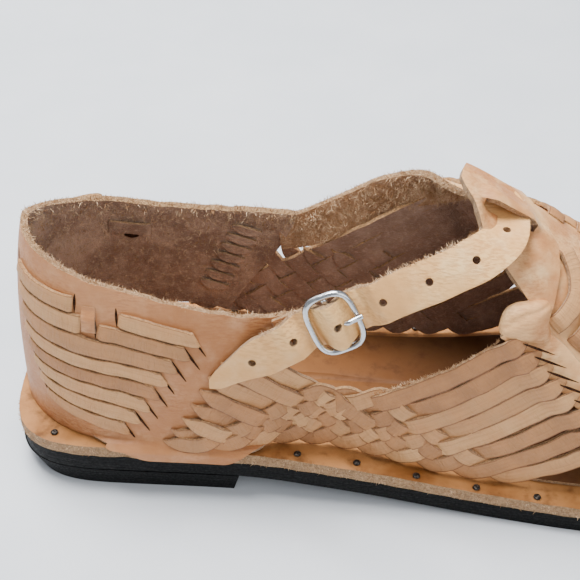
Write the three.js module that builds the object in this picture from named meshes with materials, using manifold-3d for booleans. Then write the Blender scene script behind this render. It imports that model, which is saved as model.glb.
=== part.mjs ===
// Huarache sandal, right shoe: woven leather upper, ankle strap with a centre bar buckle,
// nailed leather sole on black rubber. Millimetres, +Z up, +X to the toe, -Y is the outer side.

import * as THREE from 'three';
import { mergeVertices } from 'three/addons/utils/BufferGeometryUtils.js';
import Module from 'manifold-3d';

const wasm = await Module();
wasm.setup();


// Driving sizes
const SOLE_LENGTH = 288;
const BALL_WIDTH = 100;
const HEEL_WIDTH = 76;
const INSTEP_HEIGHT = 96;
const COLLAR_HEIGHT = 59;
const HEEL_ROUND = 2.6;
const HEEL_SQUARE = 3.6;
const TOE_SQUARE = 2.1;
const TOE_SHIFT = 0.12;
const HEEL_BLOCK = 7.9;
const HEEL_LENGTH = 79;
const RUBBER = 6.9;
const LEATHER = 4.4;
const TOE_SPRING = 6.5;
const RUBBER_INSET = 0.8;
const HEEL_UNDERCUT = 4;
const HEEL_BREAST = 2;
const HEEL_FLARE = 1.5;
const INSOLE = 1.2;
const INSOLE_CLEAR = 1.4;
const TOE_LEDGE = 8;
const HEEL_LEDGE = 1.8;
const SEAT = 0.3;

const COUNTER_WALL = 2.4;
const WEAVE_WALL = 1.8;
const COUNTER_LIFT = 0.9;
const FAN_LIFT = 0.5;
const STRIP_RAISE = 1.2;
const STRIP_WIDTH = 6;
const STRIP_GROOVE = 0.9;
const GROOVE_SHARE = STRIP_GROOVE / STRIP_WIDTH;
const COUNTER_STRIPS = 9;
const BRAID_ROWS = 5;
const BRAID_TILE = 11.5;
const FAN_STRIPS = 8;
const VAMP_STRIPS = 12;
const BAND_WIDTH = 13;
const TAB_WALL = 2.4;

const SMOOTHING = 0.21;
const SLIVER = 0.03;
const WELD = 0.01;

const STRAP_WIDTH = 14;
const STRAP_THICK = 2.4;
const STRAP_CLEAR = 0.5;
const HOLE_PITCH = 15.5;
const HOLE_SIZE = 3;
const HOLES = 7;
const TIP_HOLE = 18;
const WIRE = 2.2;
const FRAME_LENGTH = 15;
const FRAME_WIDTH = 20;
const NAIL_HEAD = 2.5;
const NAIL_RISE = 0.6;
const NAIL_PITCH = 20;
const NAIL_CLEAR = 0.3;
const NAIL_SHARE = 0.55;

// Levels worked out from the layers
const BALL_LEVEL = RUBBER + SEAT + LEATHER;
const HEEL_LEVEL = HEEL_BLOCK + SEAT + BALL_LEVEL;
const HALF = BALL_WIDTH / 2;

// Sole outline: shares of the sole length, and of half the ball width
const SOLE_SIDE = [
  { at: 0.14, outer: 0.76, inner: 0.76 },
  { at: 0.28, outer: 0.76, inner: 0.74 },
  { at: 0.38, outer: 0.79, inner: 0.72 },
  { at: 0.47, outer: 0.82, inner: 0.75 },
  { at: 0.57, outer: 0.88, inner: 0.86 },
  { at: 0.67, outer: 0.95, inner: 0.96 },
  { at: 0.75, outer: 0.99, inner: 1.01 },
  { at: 0.826, outer: 0.98, inner: 0.98 },
];
// Height of the foot's bed: share of the length, share of the drop from heel to ball, share of toe spring
const BED = [
  { at: 0.0, drop: 0, spring: 0 },
  { at: 0.28, drop: 0, spring: 0 },
  { at: 0.38, drop: 0.25, spring: 0 },
  { at: 0.52, drop: 0.8, spring: 0 },
  { at: 0.64, drop: 1, spring: 0 },
  { at: 0.8, drop: 1, spring: 0 },
  { at: 0.9, drop: 1, spring: 0.23 },
  { at: 1.0, drop: 1, spring: 1 },
];
// Foot of the upper: shares of the length, and of half the ball width
const FOOT_SIDE = [
  { at: 0.14, outer: 0.68, inner: 0.65 },
  { at: 0.21, outer: 0.72, inner: 0.65 },
  { at: 0.27, outer: 0.7, inner: 0.63 },
  { at: 0.33, outer: 0.63, inner: 0.6 },
  { at: 0.38, outer: 0.61, inner: 0.58 },
  { at: 0.43, outer: 0.65, inner: 0.59 },
  { at: 0.51, outer: 0.73, inner: 0.66 },
  { at: 0.6, outer: 0.78, inner: 0.76 },
  { at: 0.7, outer: 0.83, inner: 0.87 },
  { at: 0.826, outer: 0.84, inner: 0.84 },
];
// Ridge over the instep: share of the length, of the instep height, sideways shift and roundness
const RIDGE = [
  { at: 0.14, high: 1.09, shift: 0.0, round: 1.85 },
  { at: 0.38, high: 1.08, shift: 0.0, round: 1.87 },
  { at: 0.45, high: 1.05, shift: 0.01, round: 1.95 },
  { at: 0.51, high: 1.0, shift: 0.02, round: 2.1 },
  { at: 0.54, high: 0.96, shift: 0.02, round: 2.12 },
  { at: 0.594, high: 0.86, shift: 0.03, round: 2.12 },
  { at: 0.65, high: 0.74, shift: 0.04, round: 2.15 },
  { at: 0.73, high: 0.565, shift: 0.06, round: 2.2 },
  { at: 0.826, high: 0.4, shift: 0.07, round: 2.3 },
];
const HEEL_CENTRE = 0.14 * SOLE_LENGTH;
const TOE_CENTRE = 0.826 * SOLE_LENGTH;

// A smooth curve through one column of a table
function column(table, key, x) {
  const share = Math.min(Math.max(x / SOLE_LENGTH, table[0].at), table[table.length - 1].at);
  let i = 0;
  while (i < table.length - 2 && share > table[i + 1].at) i += 1;
  const slope = (k) => {
    const a = table[Math.max(k - 1, 0)];
    const b = table[Math.min(k + 1, table.length - 1)];
    return (b[key] - a[key]) / (b.at - a.at);
  };
  const width = table[i + 1].at - table[i].at;
  const u = (share - table[i].at) / width;
  const v = 1 - u;
  const start = table[i][key] * (1 + 2 * u) * v * v + slope(i) * width * u * v * v;
  return start + table[i + 1][key] * u * u * (3 - 2 * u) - slope(i + 1) * width * u * u * v;
}

const mix = (a, b, u) => a + (b - a) * u;
const between = (x, low, high) => Math.min(Math.max(x, low), high);
const range = (count) => Array.from({ length: count }, (_, i) => i);

// Half width of the sole's outline, boxy at the heel and round at the toe
function soleHalf(side, x) {
  const key = side < 0 ? 'outer' : 'inner';
  if (x < HEEL_CENTRE) {
    const share = between((HEEL_CENTRE - x) / HEEL_CENTRE, 0, 1);
    return (HEEL_WIDTH / 2) * Math.pow(1 - Math.pow(share, HEEL_SQUARE), 1 / HEEL_SQUARE);
  }
  const wide = HALF * column(SOLE_SIDE, key, x);
  if (x <= TOE_CENTRE) return wide;
  const share = between((x - TOE_CENTRE) / (SOLE_LENGTH - TOE_CENTRE), 0, 1);
  const shift = side * TOE_SHIFT * HALF;
  return shift + (wide - shift) * Math.pow(1 - Math.pow(share, TOE_SQUARE), 1 / TOE_SQUARE);
}

// Top of the leather sole along the length
function bed(x) {
  const drop = column(BED, 'drop', x) * (HEEL_LEVEL - BALL_LEVEL);
  return Math.max(HEEL_LEVEL - drop, BALL_LEVEL) + Math.max(column(BED, 'spring', x), 0) * TOE_SPRING;
}

// Closed body from numbered points and triangles, turned so that its faces point out
function body(points, faces) {
  let volume = 0;
  for (const [a, b, c] of faces) {
    volume += points[a].dot(points[b].clone().cross(points[c]));
  }
  const index = faces.flatMap(([a, b, c]) => (volume > 0 ? [a, b, c] : [a, c, b]));
  const geometry = new THREE.BufferGeometry();
  geometry.setAttribute('position', new THREE.Float32BufferAttribute(points.flatMap((p) => p.toArray()), 3));
  geometry.setIndex(index);
  return geometry;
}

function toSolid(geometry, weld = 1e-4) {
  const plain = geometry.clone();
  plain.deleteAttribute('normal');
  plain.deleteAttribute('uv');
  const merged = mergeVertices(plain, weld);
  const vertProperties = new Float32Array(merged.attributes.position.array);
  const triVerts = new Uint32Array(merged.index.array);
  return new wasm.Manifold(new wasm.Mesh({ numProp: 3, vertProperties, triVerts }));
}

function toGeometry(solid) {
  const mesh = solid.getMesh();
  const geometry = new THREE.BufferGeometry();
  geometry.setAttribute('position', new THREE.BufferAttribute(mesh.vertProperties, 3));
  geometry.setIndex(new THREE.BufferAttribute(mesh.triVerts, 1));
  return geometry;
}

const joined = (solids) => solids.reduce((whole, solid) => whole.add(solid));

// Loft through rings of equal count, closed by a fan at each end or joined end to end
function loft(rings, endless = false) {
  const sides = rings[0].length;
  const points = rings.flat();
  const faces = [];
  const last = endless ? rings.length : rings.length - 1;
  for (let i = 0; i < last; i += 1) {
    const a = i * sides;
    const b = ((i + 1) % rings.length) * sides;
    for (let j = 0; j < sides; j += 1) {
      const k = (j + 1) % sides;
      faces.push([a + j, a + k, b + k], [a + j, b + k, b + j]);
    }
  }
  if (!endless) {
    const end = (rings.length - 1) * sides;
    for (let j = 1; j < sides - 1; j += 1) {
      faces.push([0, j + 1, j], [end, end + j, end + j + 1]);
    }
  }
  return body(points, faces);
}

// Even places from 0 to 1, each with a mark of 1
const evenly = (count) => range(count + 1).map((i) => [i / count, 1]);

// Places across a row of strips: a groove with mark 0, then both edges of a strip with mark 1
function ribs(count, from = 0, to = 1) {
  const rows = range(count).flatMap((k) => [
    [mix(from, to, k / count), 0],
    [mix(from, to, (k + GROOVE_SHARE) / count), 1],
    [mix(from, to, (k + 1 - GROOVE_SHARE) / count), 1],
  ]);
  return [...rows, [to, 0]];
}

// Wall over a grid of places: place(u, v, lift) gives a point, and marked places are raised
function wall(across, along, place, outer, inner, raise = () => 0, under = 3) {
  return toSolid(loft(across.map(([u, markU]) => {
    const top = along.map(([v, markV]) => place(u, v, outer + markU * markV * raise(u, v)));
    const back = range(under + 1).map((j) => place(u, 1 - j / under, inner));
    return [...top, ...back];
  })));
}

// Sole layers: places along them, closer together round the heel and the toe
const HEEL_STEPS = 9;
const WAIST_STEPS = 18;
const TOE_STEPS = 11;
const END_WIDTH = 0.2;

function heelPlaces(start) {
  const turn = (i) => (i / HEEL_STEPS) * (Math.PI / 2);
  return range(HEEL_STEPS).map((i) => start + (HEEL_CENTRE - start) * (1 - Math.cos(turn(i))));
}

function stations(start, end) {
  const waist = range(WAIST_STEPS).map((i) => mix(HEEL_CENTRE, TOE_CENTRE, i / WAIST_STEPS));
  const turn = (i) => (i / TOE_STEPS) * (Math.PI / 2);
  const toe = range(TOE_STEPS + 1).map((i) => TOE_CENTRE + (end - TOE_CENTRE) * Math.sin(turn(i)));
  return [...heelPlaces(start), ...waist, ...toe];
}

function layer(places, top, bottom, inset) {
  return loft(places.map((x) => {
    const at = between(x, END_WIDTH, SOLE_LENGTH - END_WIDTH);
    const right = -(soleHalf(-1, at) - inset);
    const left = soleHalf(1, at) - inset;
    return [
      new THREE.Vector3(x, right, top(x)),
      new THREE.Vector3(x, left, top(x)),
      new THREE.Vector3(x, left, bottom(x)),
      new THREE.Vector3(x, right, bottom(x)),
    ];
  }));
}

function leatherSole() {
  const bottom = (x) => bed(x) - LEATHER;
  return layer(stations(0, SOLE_LENGTH), bed, bottom, 0);
}

function outsole() {
  const top = (x) => bed(x) - LEATHER - SEAT;
  const places = stations(RUBBER_INSET, SOLE_LENGTH - RUBBER_INSET);
  return layer(places, top, (x) => top(x) - RUBBER, RUBBER_INSET);
}

// Heel block, narrower at the floor, undercut at its back and slanted at its breast
function heelBlock() {
  const places = [...heelPlaces(0), HEEL_CENTRE, mix(HEEL_CENTRE, HEEL_LENGTH, 0.5), HEEL_LENGTH];
  return loft(places.map((x) => {
    const right = -(soleHalf(-1, Math.max(x, END_WIDTH)) - RUBBER_INSET);
    const left = soleHalf(1, Math.max(x, END_WIDTH)) - RUBBER_INSET;
    const back = mix(RUBBER_INSET, HEEL_LENGTH, x / HEEL_LENGTH);
    const floor = mix(HEEL_UNDERCUT, HEEL_LENGTH - HEEL_BREAST, x / HEEL_LENGTH);
    return [
      new THREE.Vector3(back, right, HEEL_BLOCK),
      new THREE.Vector3(back, left, HEEL_BLOCK),
      new THREE.Vector3(floor, left - HEEL_FLARE, 0),
      new THREE.Vector3(floor, right + HEEL_FLARE, 0),
    ];
  }));
}

// The last: a point by side, station along the length and height share from foot to ridge.
// Stations short of the heel centre run round the heel, those past the toe centre round the toe.
const HEEL_RUN = 0.2 * SOLE_LENGTH;
const TOE_RUN = 0.215 * SOLE_LENGTH;
const HEEL_START = HEEL_CENTRE - HEEL_RUN;
const TOE_END = TOE_CENTRE + TOE_RUN;
const HEEL_REACH = HEEL_CENTRE - HEEL_LEDGE;
const TOE_REACH = SOLE_LENGTH - TOE_LEDGE - TOE_CENTRE;

function footLine(side, station) {
  const key = side < 0 ? 'outer' : 'inner';
  if (station < HEEL_CENTRE) {
    const turn = between((HEEL_CENTRE - station) / HEEL_RUN, 0, 1) * (Math.PI / 2);
    const half = HALF * FOOT_SIDE[0][key];
    return [HEEL_CENTRE - HEEL_REACH * Math.sin(turn), side * half * Math.cos(turn)];
  }
  const half = HALF * column(FOOT_SIDE, key, station);
  if (station <= TOE_CENTRE) return [station, side * half];
  const turn = between((station - TOE_CENTRE) / TOE_RUN, 0, 1) * (Math.PI / 2);
  const shift = TOE_SHIFT * HALF;
  const y = shift + (side * half - shift) * Math.cos(turn);
  return [TOE_CENTRE + TOE_REACH * Math.sin(turn), y];
}

// The ridge's end creeps forward round the toe, so that no two sections share a point
const TOE_CREEP = 0.04;

function ridge(station) {
  const x = between(station, HEEL_CENTRE, TOE_CENTRE);
  const back = between((HEEL_CENTRE - station) / HEEL_RUN, 0, 1);
  return {
    x: x + TOE_CREEP * Math.max(station - TOE_CENTRE, 0),
    y: column(RIDGE, 'shift', x) * BALL_WIDTH,
    high: column(RIDGE, 'high', x) * INSTEP_HEIGHT,
    round: mix(column(RIDGE, 'round', x), HEEL_ROUND, back),
  };
}

// Share 0 is the foot of one side, 1 the ridge and 2 the foot of the other side
function lastPoint(side, station, share) {
  const near = share > 1 ? -side : side;
  const up = (share > 1 ? 2 - share : share) * (Math.PI / 2);
  const [x, y] = footLine(near, station);
  const top = ridge(station);
  const out = Math.pow(Math.abs(Math.cos(up)), 2 / top.round);
  const rise = Math.pow(Math.abs(Math.sin(up)), 2 / top.round);
  const px = top.x + (x - top.x) * out;
  return new THREE.Vector3(px, top.y + (y - top.y) * out, bed(px) + SEAT + top.high * rise);
}

function onLast(side, station, share, lift) {
  const along = lastPoint(side, station + 0.5, share).sub(lastPoint(side, station - 0.5, share));
  const over = lastPoint(side, station, Math.min(share + 0.01, 2));
  over.sub(lastPoint(side, station, Math.max(share - 0.01, 0)));
  const normal = along.cross(over).normalize().multiplyScalar(-side * lift);
  if (share < 0.02 || share > 1.98) normal.z = Math.max(normal.z, 0);
  return lastPoint(side, station, share).add(normal);
}

// Height above the bed turned into a share of the way up to the ridge
function shareAt(station, height) {
  const top = ridge(station);
  const part = between(height / top.high, 0, 1);
  return (Math.asin(Math.pow(part, top.round / 2)) * 2) / Math.PI;
}

const onSide = (side, station, height, lift) => onLast(side, station, shareAt(station, height), lift);

// A raised strip along a path of [station, height] on one side, its foot sunk into the wall
const STRIP_SUNK = 0.6;
const STRIP_BEVEL = 0.5;

function strip(side, path, width, raise, steps = 4) {
  const at = (u) => {
    const place = between(u, 0, 1) * (path.length - 1);
    const i = Math.min(Math.floor(place), path.length - 2);
    return [mix(path[i][0], path[i + 1][0], place - i), mix(path[i][1], path[i + 1][1], place - i)];
  };
  return loft(range(steps + 1).map((i) => {
    const u = i / steps;
    const [s0, h0] = at(u - 0.02);
    const [s1, h1] = at(u + 0.02);
    const size = Math.hypot(s1 - s0, h1 - h0);
    const ax = -(h1 - h0) / size;
    const ay = (s1 - s0) / size;
    const [s, h] = at(u);
    const point = (offset, lift) => onSide(side, s + ax * offset, Math.max(h + ay * offset, 0), lift);
    return [
      point(-width / 2, -STRIP_SUNK),
      point(-width / 2 + STRIP_BEVEL, raise),
      point(width / 2 - STRIP_BEVEL, raise),
      point(width / 2, -STRIP_SUNK),
    ];
  }));
}

// Counter: a cup round the heel. Rows give its edges at stations on the outer and inner side
const COUNTER_EDGE = [
  { at: -0.06, outerLow: 0, outerTop: 1.16, innerLow: 0, innerTop: 1.16 },
  { at: 0.05, outerLow: 0, outerTop: 1.12, innerLow: 0, innerTop: 1.0 },
  { at: 0.14, outerLow: 0, outerTop: 1.03, innerLow: 0.02, innerTop: 0.91 },
  { at: 0.21, outerLow: 0, outerTop: 0.965, innerLow: 0.06, innerTop: 0.89 },
  { at: 0.27, outerLow: 0, outerTop: 0.91, innerLow: 0.14, innerTop: 0.89 },
  { at: 0.31, outerLow: 0.4, outerTop: 0.9, innerLow: 0.5, innerTop: 0.9 },
  { at: 0.34, outerLow: 0.66, outerTop: 0.92, innerLow: 0.68, innerTop: 0.92 },
];
const COUNTER_END = COUNTER_EDGE[COUNTER_EDGE.length - 1].at * SOLE_LENGTH;

function counterPlace(u, v, lift) {
  const side = u < 0.5 ? -1 : 1;
  const away = Math.abs(u - 0.5) * 2;
  const station = mix(HEEL_START, COUNTER_END, away);
  const name = side < 0 ? 'outer' : 'inner';
  const low = column(COUNTER_EDGE, `${name}Low`, station) * COLLAR_HEIGHT;
  const high = column(COUNTER_EDGE, `${name}Top`, station) * COLLAR_HEIGHT;
  return onSide(side, station, Math.max(mix(low, high, v), 0), lift);
}

// Strips lie on the counter from the slits at its back to a slanted column of slits in front
const COUNTER_STRIP = { low: 0.04, top: 0.82, back: -0.045, frontLow: 0.155, frontTop: 0.24 };

function counter() {
  const raise = (u, v) => {
    const station = mix(HEEL_START, COUNTER_END, Math.abs(u - 0.5) * 2) / SOLE_LENGTH;
    const front = mix(COUNTER_STRIP.frontLow, COUNTER_STRIP.frontTop, v);
    return station > COUNTER_STRIP.back && station < front ? STRIP_RAISE : 0;
  };
  const rows = [[0, 0], ...ribs(COUNTER_STRIPS, COUNTER_STRIP.low, COUNTER_STRIP.top), [1, 0]];
  return wall(evenly(20), rows, counterPlace, COUNTER_LIFT, COUNTER_LIFT - COUNTER_WALL, raise);
}

// Braided part of each side. Rows: station share, and the top edge of the outer and the inner side
// as shares of the instep height. The inner side reaches up to the ankle strap
const BRAID_EDGE = [
  { at: 0.25, outer: 0.4, inner: 0.36 },
  { at: 0.31, outer: 0.34, inner: 0.37 },
  { at: 0.37, outer: 0.29, inner: 0.42 },
  { at: 0.41, outer: 0.285, inner: 0.5 },
  { at: 0.45, outer: 0.25, inner: 0.6 },
  { at: 0.5, outer: 0.18, inner: 0.7 },
  { at: 0.56, outer: 0.1, inner: 0.62 },
  { at: 0.61, outer: 0.04, inner: 0.5 },
];
const braidTop = (side, station) => (
  column(BRAID_EDGE, side < 0 ? 'outer' : 'inner', station) * INSTEP_HEIGHT
);
const BRAID_START = BRAID_EDGE[0].at * SOLE_LENGTH;
const BRAID_END = BRAID_EDGE[BRAID_EDGE.length - 1].at * SOLE_LENGTH;

function braidWall(side) {
  const place = (u, v, lift) => {
    const station = mix(BRAID_START, BRAID_END, u);
    return onSide(side, station, v * braidTop(side, station), lift);
  };
  return wall(evenly(10), evenly(2), place, 0, -WEAVE_WALL, () => 0, 2);
}

// Fan of long strips from the braid and the ledge up to the band, first the top one
const FAN_FOOT = { topAt: 0.395, topHigh: 0.27, lowAt: 0.6, lowHigh: 0 };
const FAN_HEAD = { topAt: 0.58, topHigh: 0.6, lowAt: 0.745, lowHigh: 0.08 };
const FAN_SAG = 0.02;

function fanWall(side) {
  const place = (u, v, lift) => {
    const footAt = mix(FAN_FOOT.topAt, FAN_FOOT.lowAt, v);
    const footHigh = mix(FAN_FOOT.topHigh, FAN_FOOT.lowHigh, v);
    const headAt = mix(FAN_HEAD.topAt, FAN_HEAD.lowAt, v);
    const headHigh = mix(FAN_HEAD.topHigh, FAN_HEAD.lowHigh, v);
    const sag = FAN_SAG * Math.sin(Math.PI * u) * (1 - v * 0.5);
    const height = Math.max(mix(footHigh, headHigh, u) - sag, 0) * INSTEP_HEIGHT;
    return onSide(side, mix(footAt, headAt, u) * SOLE_LENGTH, height, lift);
  };
  return wall(evenly(8), ribs(FAN_STRIPS), place, FAN_LIFT, FAN_LIFT - WEAVE_WALL, () => STRIP_RAISE);
}

// Braid: slanted tiles that lie over and under each other, between the counter and the fan
const BRAID_FIRST = 0.27;
const BRAID_SLANT = 0.3;

function braidTiles(side) {
  const first = BRAID_FIRST * SOLE_LENGTH;
  const count = Math.floor((BRAID_END - first) / BRAID_TILE);
  return range(BRAID_ROWS).flatMap((row) => range(count).flatMap((i) => {
    const centre = first + (i + (row % 2) / 2) * BRAID_TILE;
    const high = braidTop(side, centre);
    const pitch = (BRAID_EDGE[2].outer * INSTEP_HEIGHT) / BRAID_ROWS;
    const level = high - (row + 0.5) * pitch;
    if (level < pitch / 2) return [];
    const slant = row % 2 ? BRAID_SLANT : -BRAID_SLANT;
    const reach = BRAID_TILE * 0.45;
    const path = [
      [centre - reach, level - slant * pitch],
      [centre + reach, level + slant * pitch],
    ];
    return [toSolid(strip(side, path, pitch * 0.8, STRIP_RAISE, 1))];
  }));
}

// Vamp: closed over the toes, from the band's line forward and from ledge to ledge
const VAMP_EDGE = [
  { at: 0.59, low: 0.6 },
  { at: 0.63, low: 0.46 },
  { at: 0.67, low: 0.34 },
  { at: 0.71, low: 0.2 },
  { at: 0.76, low: 0.05 },
  { at: 0.79, low: 0.0 },
  { at: 0.83, low: 0.0 },
];
const VAMP_START = VAMP_EDGE[0].at * SOLE_LENGTH;

// Strips slant forward as they come down from the ridge, which stays a plain band
const VAMP_SLANT = 0.075 * SOLE_LENGTH;
const VAMP_RIB_START = 0.16;
const RIDGE_BAND = 0.07;

function vampPlace(u, v, lift) {
  const away = Math.abs(v - 0.5) * 2;
  const slant = VAMP_SLANT * away * Math.sin(Math.PI * between(u, 0, 1));
  const station = mix(VAMP_START, TOE_END, u) + slant;
  const low = shareAt(station, Math.max(column(VAMP_EDGE, 'low', station), 0) * INSTEP_HEIGHT);
  const share = v < 0.5 ? mix(1, low, away) : mix(1, 2 - low, away);
  return onLast(-1, station, share, lift);
}

function vamp() {
  const raise = (u, v) => (u > VAMP_RIB_START && Math.abs(v - 0.5) > RIDGE_BAND ? STRIP_RAISE : 0);
  const across = [[0, 0], [VAMP_RIB_START / 2, 0], ...ribs(VAMP_STRIPS, VAMP_RIB_START, 1)];
  return wall(across, evenly(10), vampPlace, 0, -WEAVE_WALL, raise, 10);
}

// Smooth bands that carry the ends of the strips, from the curled knob down to the ledge
const BAND = [
  { at: 0.572, high: 0.63 },
  { at: 0.61, high: 0.555 },
  { at: 0.645, high: 0.45 },
  { at: 0.69, high: 0.3 },
  { at: 0.745, high: 0.12 },
  { at: 0.785, high: 0.02 },
];

function band(side) {
  const path = BAND.map((row) => [row.at * SOLE_LENGTH, row.high * INSTEP_HEIGHT]);
  return toSolid(strip(side, path, BAND_WIDTH, STRIP_RAISE + 1, 8));
}

// Smooth saddle piece over the instep, its back edge an arch
const TAB = { back: 0.51, corner: 0.6, front: 0.665, low: 0.6 };

function tabPlace(u, v, lift) {
  const out = Math.abs(v - 0.5) * 2;
  const back = mix(TAB.back, TAB.corner, Math.pow(out, 1.6)) * SOLE_LENGTH;
  const station = mix(back, TAB.front * SOLE_LENGTH, u);
  const low = shareAt(station, INSTEP_HEIGHT * TAB.low);
  const share = v < 0.5 ? mix(1, low, out) : mix(1, 2 - low, out);
  return onLast(-1, station, share, lift);
}

// Ankle strap: its middle line from inside the counter on the inner side, over the instep under
// the saddle piece, out through a slit and down to its pointed tip. Shares of the sole length,
// of half the ball width and of the instep height above the ball's level
const STRAP = [
  { at: 0.278, out: 0.46, up: 0.546 },
  { at: 0.333, out: 0.52, up: 0.567 },
  { at: 0.389, out: 0.56, up: 0.64 },
  { at: 0.4375, out: 0.53, up: 0.739 },
  { at: 0.479, out: 0.45, up: 0.806 },
  { at: 0.517, out: 0.28, up: 0.868 },
  { at: 0.549, out: 0.1, up: 0.918 },
  { at: 0.562, out: -0.1, up: 0.9 },
  { at: 0.558, out: -0.29, up: 0.893 },
  { at: 0.537, out: -0.43, up: 0.88 },
  { at: 0.503, out: -0.51, up: 0.838 },
  { at: 0.451, out: -0.57, up: 0.77 },
  { at: 0.403, out: -0.63, up: 0.695 },
  { at: 0.361, out: -0.666, up: 0.638 },
  { at: 0.325, out: -0.69, up: 0.569 },
  { at: 0.288, out: -0.7, up: 0.496 },
  { at: 0.262, out: -0.706, up: 0.436 },
  { at: 0.245, out: -0.71, up: 0.387 },
];
const BUCKLE_AT = 0.785;
const TIP_LENGTH = 22;
const TIP_WIDTH = 3;
const STRAP_SECTIONS = 30;
const STRAP_LEAN = 2.2;
const STRAP_STAND = 0.62;
const STRAP_RISE = 0.25;
// The inner run stands upright and leans out a little: by how much, and from and to which side
const STRAP_FLARE = { lean: 0.9, from: 0.05, to: 0.42 };
const strapLine = new THREE.CatmullRomCurve3(STRAP.map((row) => new THREE.Vector3(
  row.at * SOLE_LENGTH,
  row.out * HALF,
  BALL_LEVEL + row.up * INSTEP_HEIGHT,
)));
strapLine.arcLengthDivisions = 400;
const STRAP_LENGTH = strapLine.getLength();
const BAR_OFFSET = (WIRE + STRAP_THICK) / 2 + 3 * SEAT;

// Directions at a distance along the strap: along it, across its width and off its face
function strapFrame(distance) {
  const u = between(distance / STRAP_LENGTH, 0, 1);
  const centre = strapLine.getPointAt(u);
  const along = strapLine.getTangentAt(u);
  const side = centre.y / HALF;
  const flat = Math.sqrt(Math.max(1 - (side / STRAP_STAND) ** 2, 0));
  const flare = STRAP_FLARE.lean * THREE.MathUtils.smoothstep(side, STRAP_FLARE.from, STRAP_FLARE.to);
  const off = new THREE.Vector3(0, side * STRAP_LEAN, flat + STRAP_RISE - flare);
  off.addScaledVector(along, -off.dot(along)).normalize();
  const across = along.clone().cross(off);
  return { centre, along, across, off };
}

// The strap dips under both ends of the buckle's frame and rises over its centre bar
function strapDip(distance) {
  const half = FRAME_LENGTH / 2;
  const away = Math.abs(distance - BUCKLE_AT * STRAP_LENGTH);
  if (away < half) return BAR_OFFSET * Math.cos((Math.PI * away) / half);
  return -BAR_OFFSET * between((2 - away / half) / 0.6, 0, 1);
}

// Distances of the strap's sections, closer together through the buckle
function strapSections() {
  const bar = BUCKLE_AT * STRAP_LENGTH;
  const dip = range(13).map((i) => bar + (i / 6 - 1) * FRAME_LENGTH);
  const plain = range(STRAP_SECTIONS + 1).map((i) => (i / STRAP_SECTIONS) * STRAP_LENGTH);
  const free = plain.filter((distance) => Math.abs(distance - bar) > FRAME_LENGTH + 1);
  return [...free, ...dip].sort((a, b) => a - b);
}

// The strap as short blocks joined end to end, or the way cut for it with a clearance all round
function strapSolid(clear) {
  const rings = strapSections().map((distance, i, all) => {
    const { centre, along, across, off } = strapFrame(distance);
    const beyond = i === 0 ? -clear : i === all.length - 1 ? clear : 0;
    centre.addScaledVector(along, beyond);
    const taper = between((STRAP_LENGTH - distance) / TIP_LENGTH, 0, 1);
    const wide = mix(TIP_WIDTH, STRAP_WIDTH, taper) / 2 + clear;
    const thick = STRAP_THICK / 2 + clear;
    const middle = centre.addScaledVector(off, strapDip(distance));
    const corner = (a, b) => middle.clone().addScaledVector(across, a).addScaledVector(off, b);
    return [corner(-wide, -thick), corner(wide, -thick), corner(wide, thick), corner(-wide, thick)];
  });
  return joined(rings.slice(1).map((ring, i) => toSolid(loft([rings[i], ring]))));
}

// Ring of points round a place, in the plane of two directions
function circle(centre, a, b, radius, sides) {
  return range(sides).map((i) => {
    const turn = (i * 2 * Math.PI) / sides;
    const point = centre.clone().addScaledVector(a, radius * Math.cos(turn));
    return point.addScaledVector(b, radius * Math.sin(turn));
  });
}

function rod(from, to, radius, sides) {
  const along = to.clone().sub(from).normalize();
  const a = new THREE.Vector3(along.z, along.x, along.y).cross(along).normalize();
  const b = along.clone().cross(a);
  return loft([circle(from, a, b, radius, sides), circle(to, a, b, radius, sides)]);
}

function ankleStrap() {
  const holes = range(HOLES).map((i) => {
    const distance = STRAP_LENGTH - TIP_HOLE - i * HOLE_PITCH;
    const { centre, off } = strapFrame(distance);
    const reach = STRAP_THICK + 2 * BAR_OFFSET;
    const from = centre.clone().addScaledVector(off, -reach);
    return toSolid(rod(from, centre.clone().addScaledVector(off, reach), HOLE_SIZE / 2, 6));
  });
  return toGeometry(strapSolid(0).subtract(joined(holes)));
}

// Buckle: wire frame with rounded corners, its centre bar and its prong
const buckle = strapFrame(BUCKLE_AT * STRAP_LENGTH);
const atBuckle = (a, b, c) => buckle.centre.clone()
  .addScaledVector(buckle.along, a)
  .addScaledVector(buckle.across, b)
  .addScaledVector(buckle.off, c);

function buckleFrame() {
  const corner = 5;
  const long = FRAME_LENGTH / 2 - corner;
  const wide = FRAME_WIDTH / 2 - corner;
  const rings = [];
  for (const [a, b, start] of [[long, wide, 0], [-long, wide, 1], [-long, -wide, 2], [long, -wide, 3]]) {
    for (const step of range(4)) {
      const turn = (start + step / 3) * (Math.PI / 2);
      const out = buckle.along.clone().multiplyScalar(Math.cos(turn));
      out.addScaledVector(buckle.across, Math.sin(turn));
      const centre = atBuckle(a, b, 0).addScaledVector(out, corner);
      rings.push(circle(centre, out, buckle.off, WIRE / 2, 6));
    }
  }
  const frame = toSolid(loft(rings, true));
  const end = FRAME_WIDTH / 2;
  return toGeometry(frame.add(toSolid(rod(atBuckle(0, -end, 0), atBuckle(0, end, 0), WIRE / 2, 8))));
}

const PRONG = { radius: 0.8, start: 3.4, reach: 2 };

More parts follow.
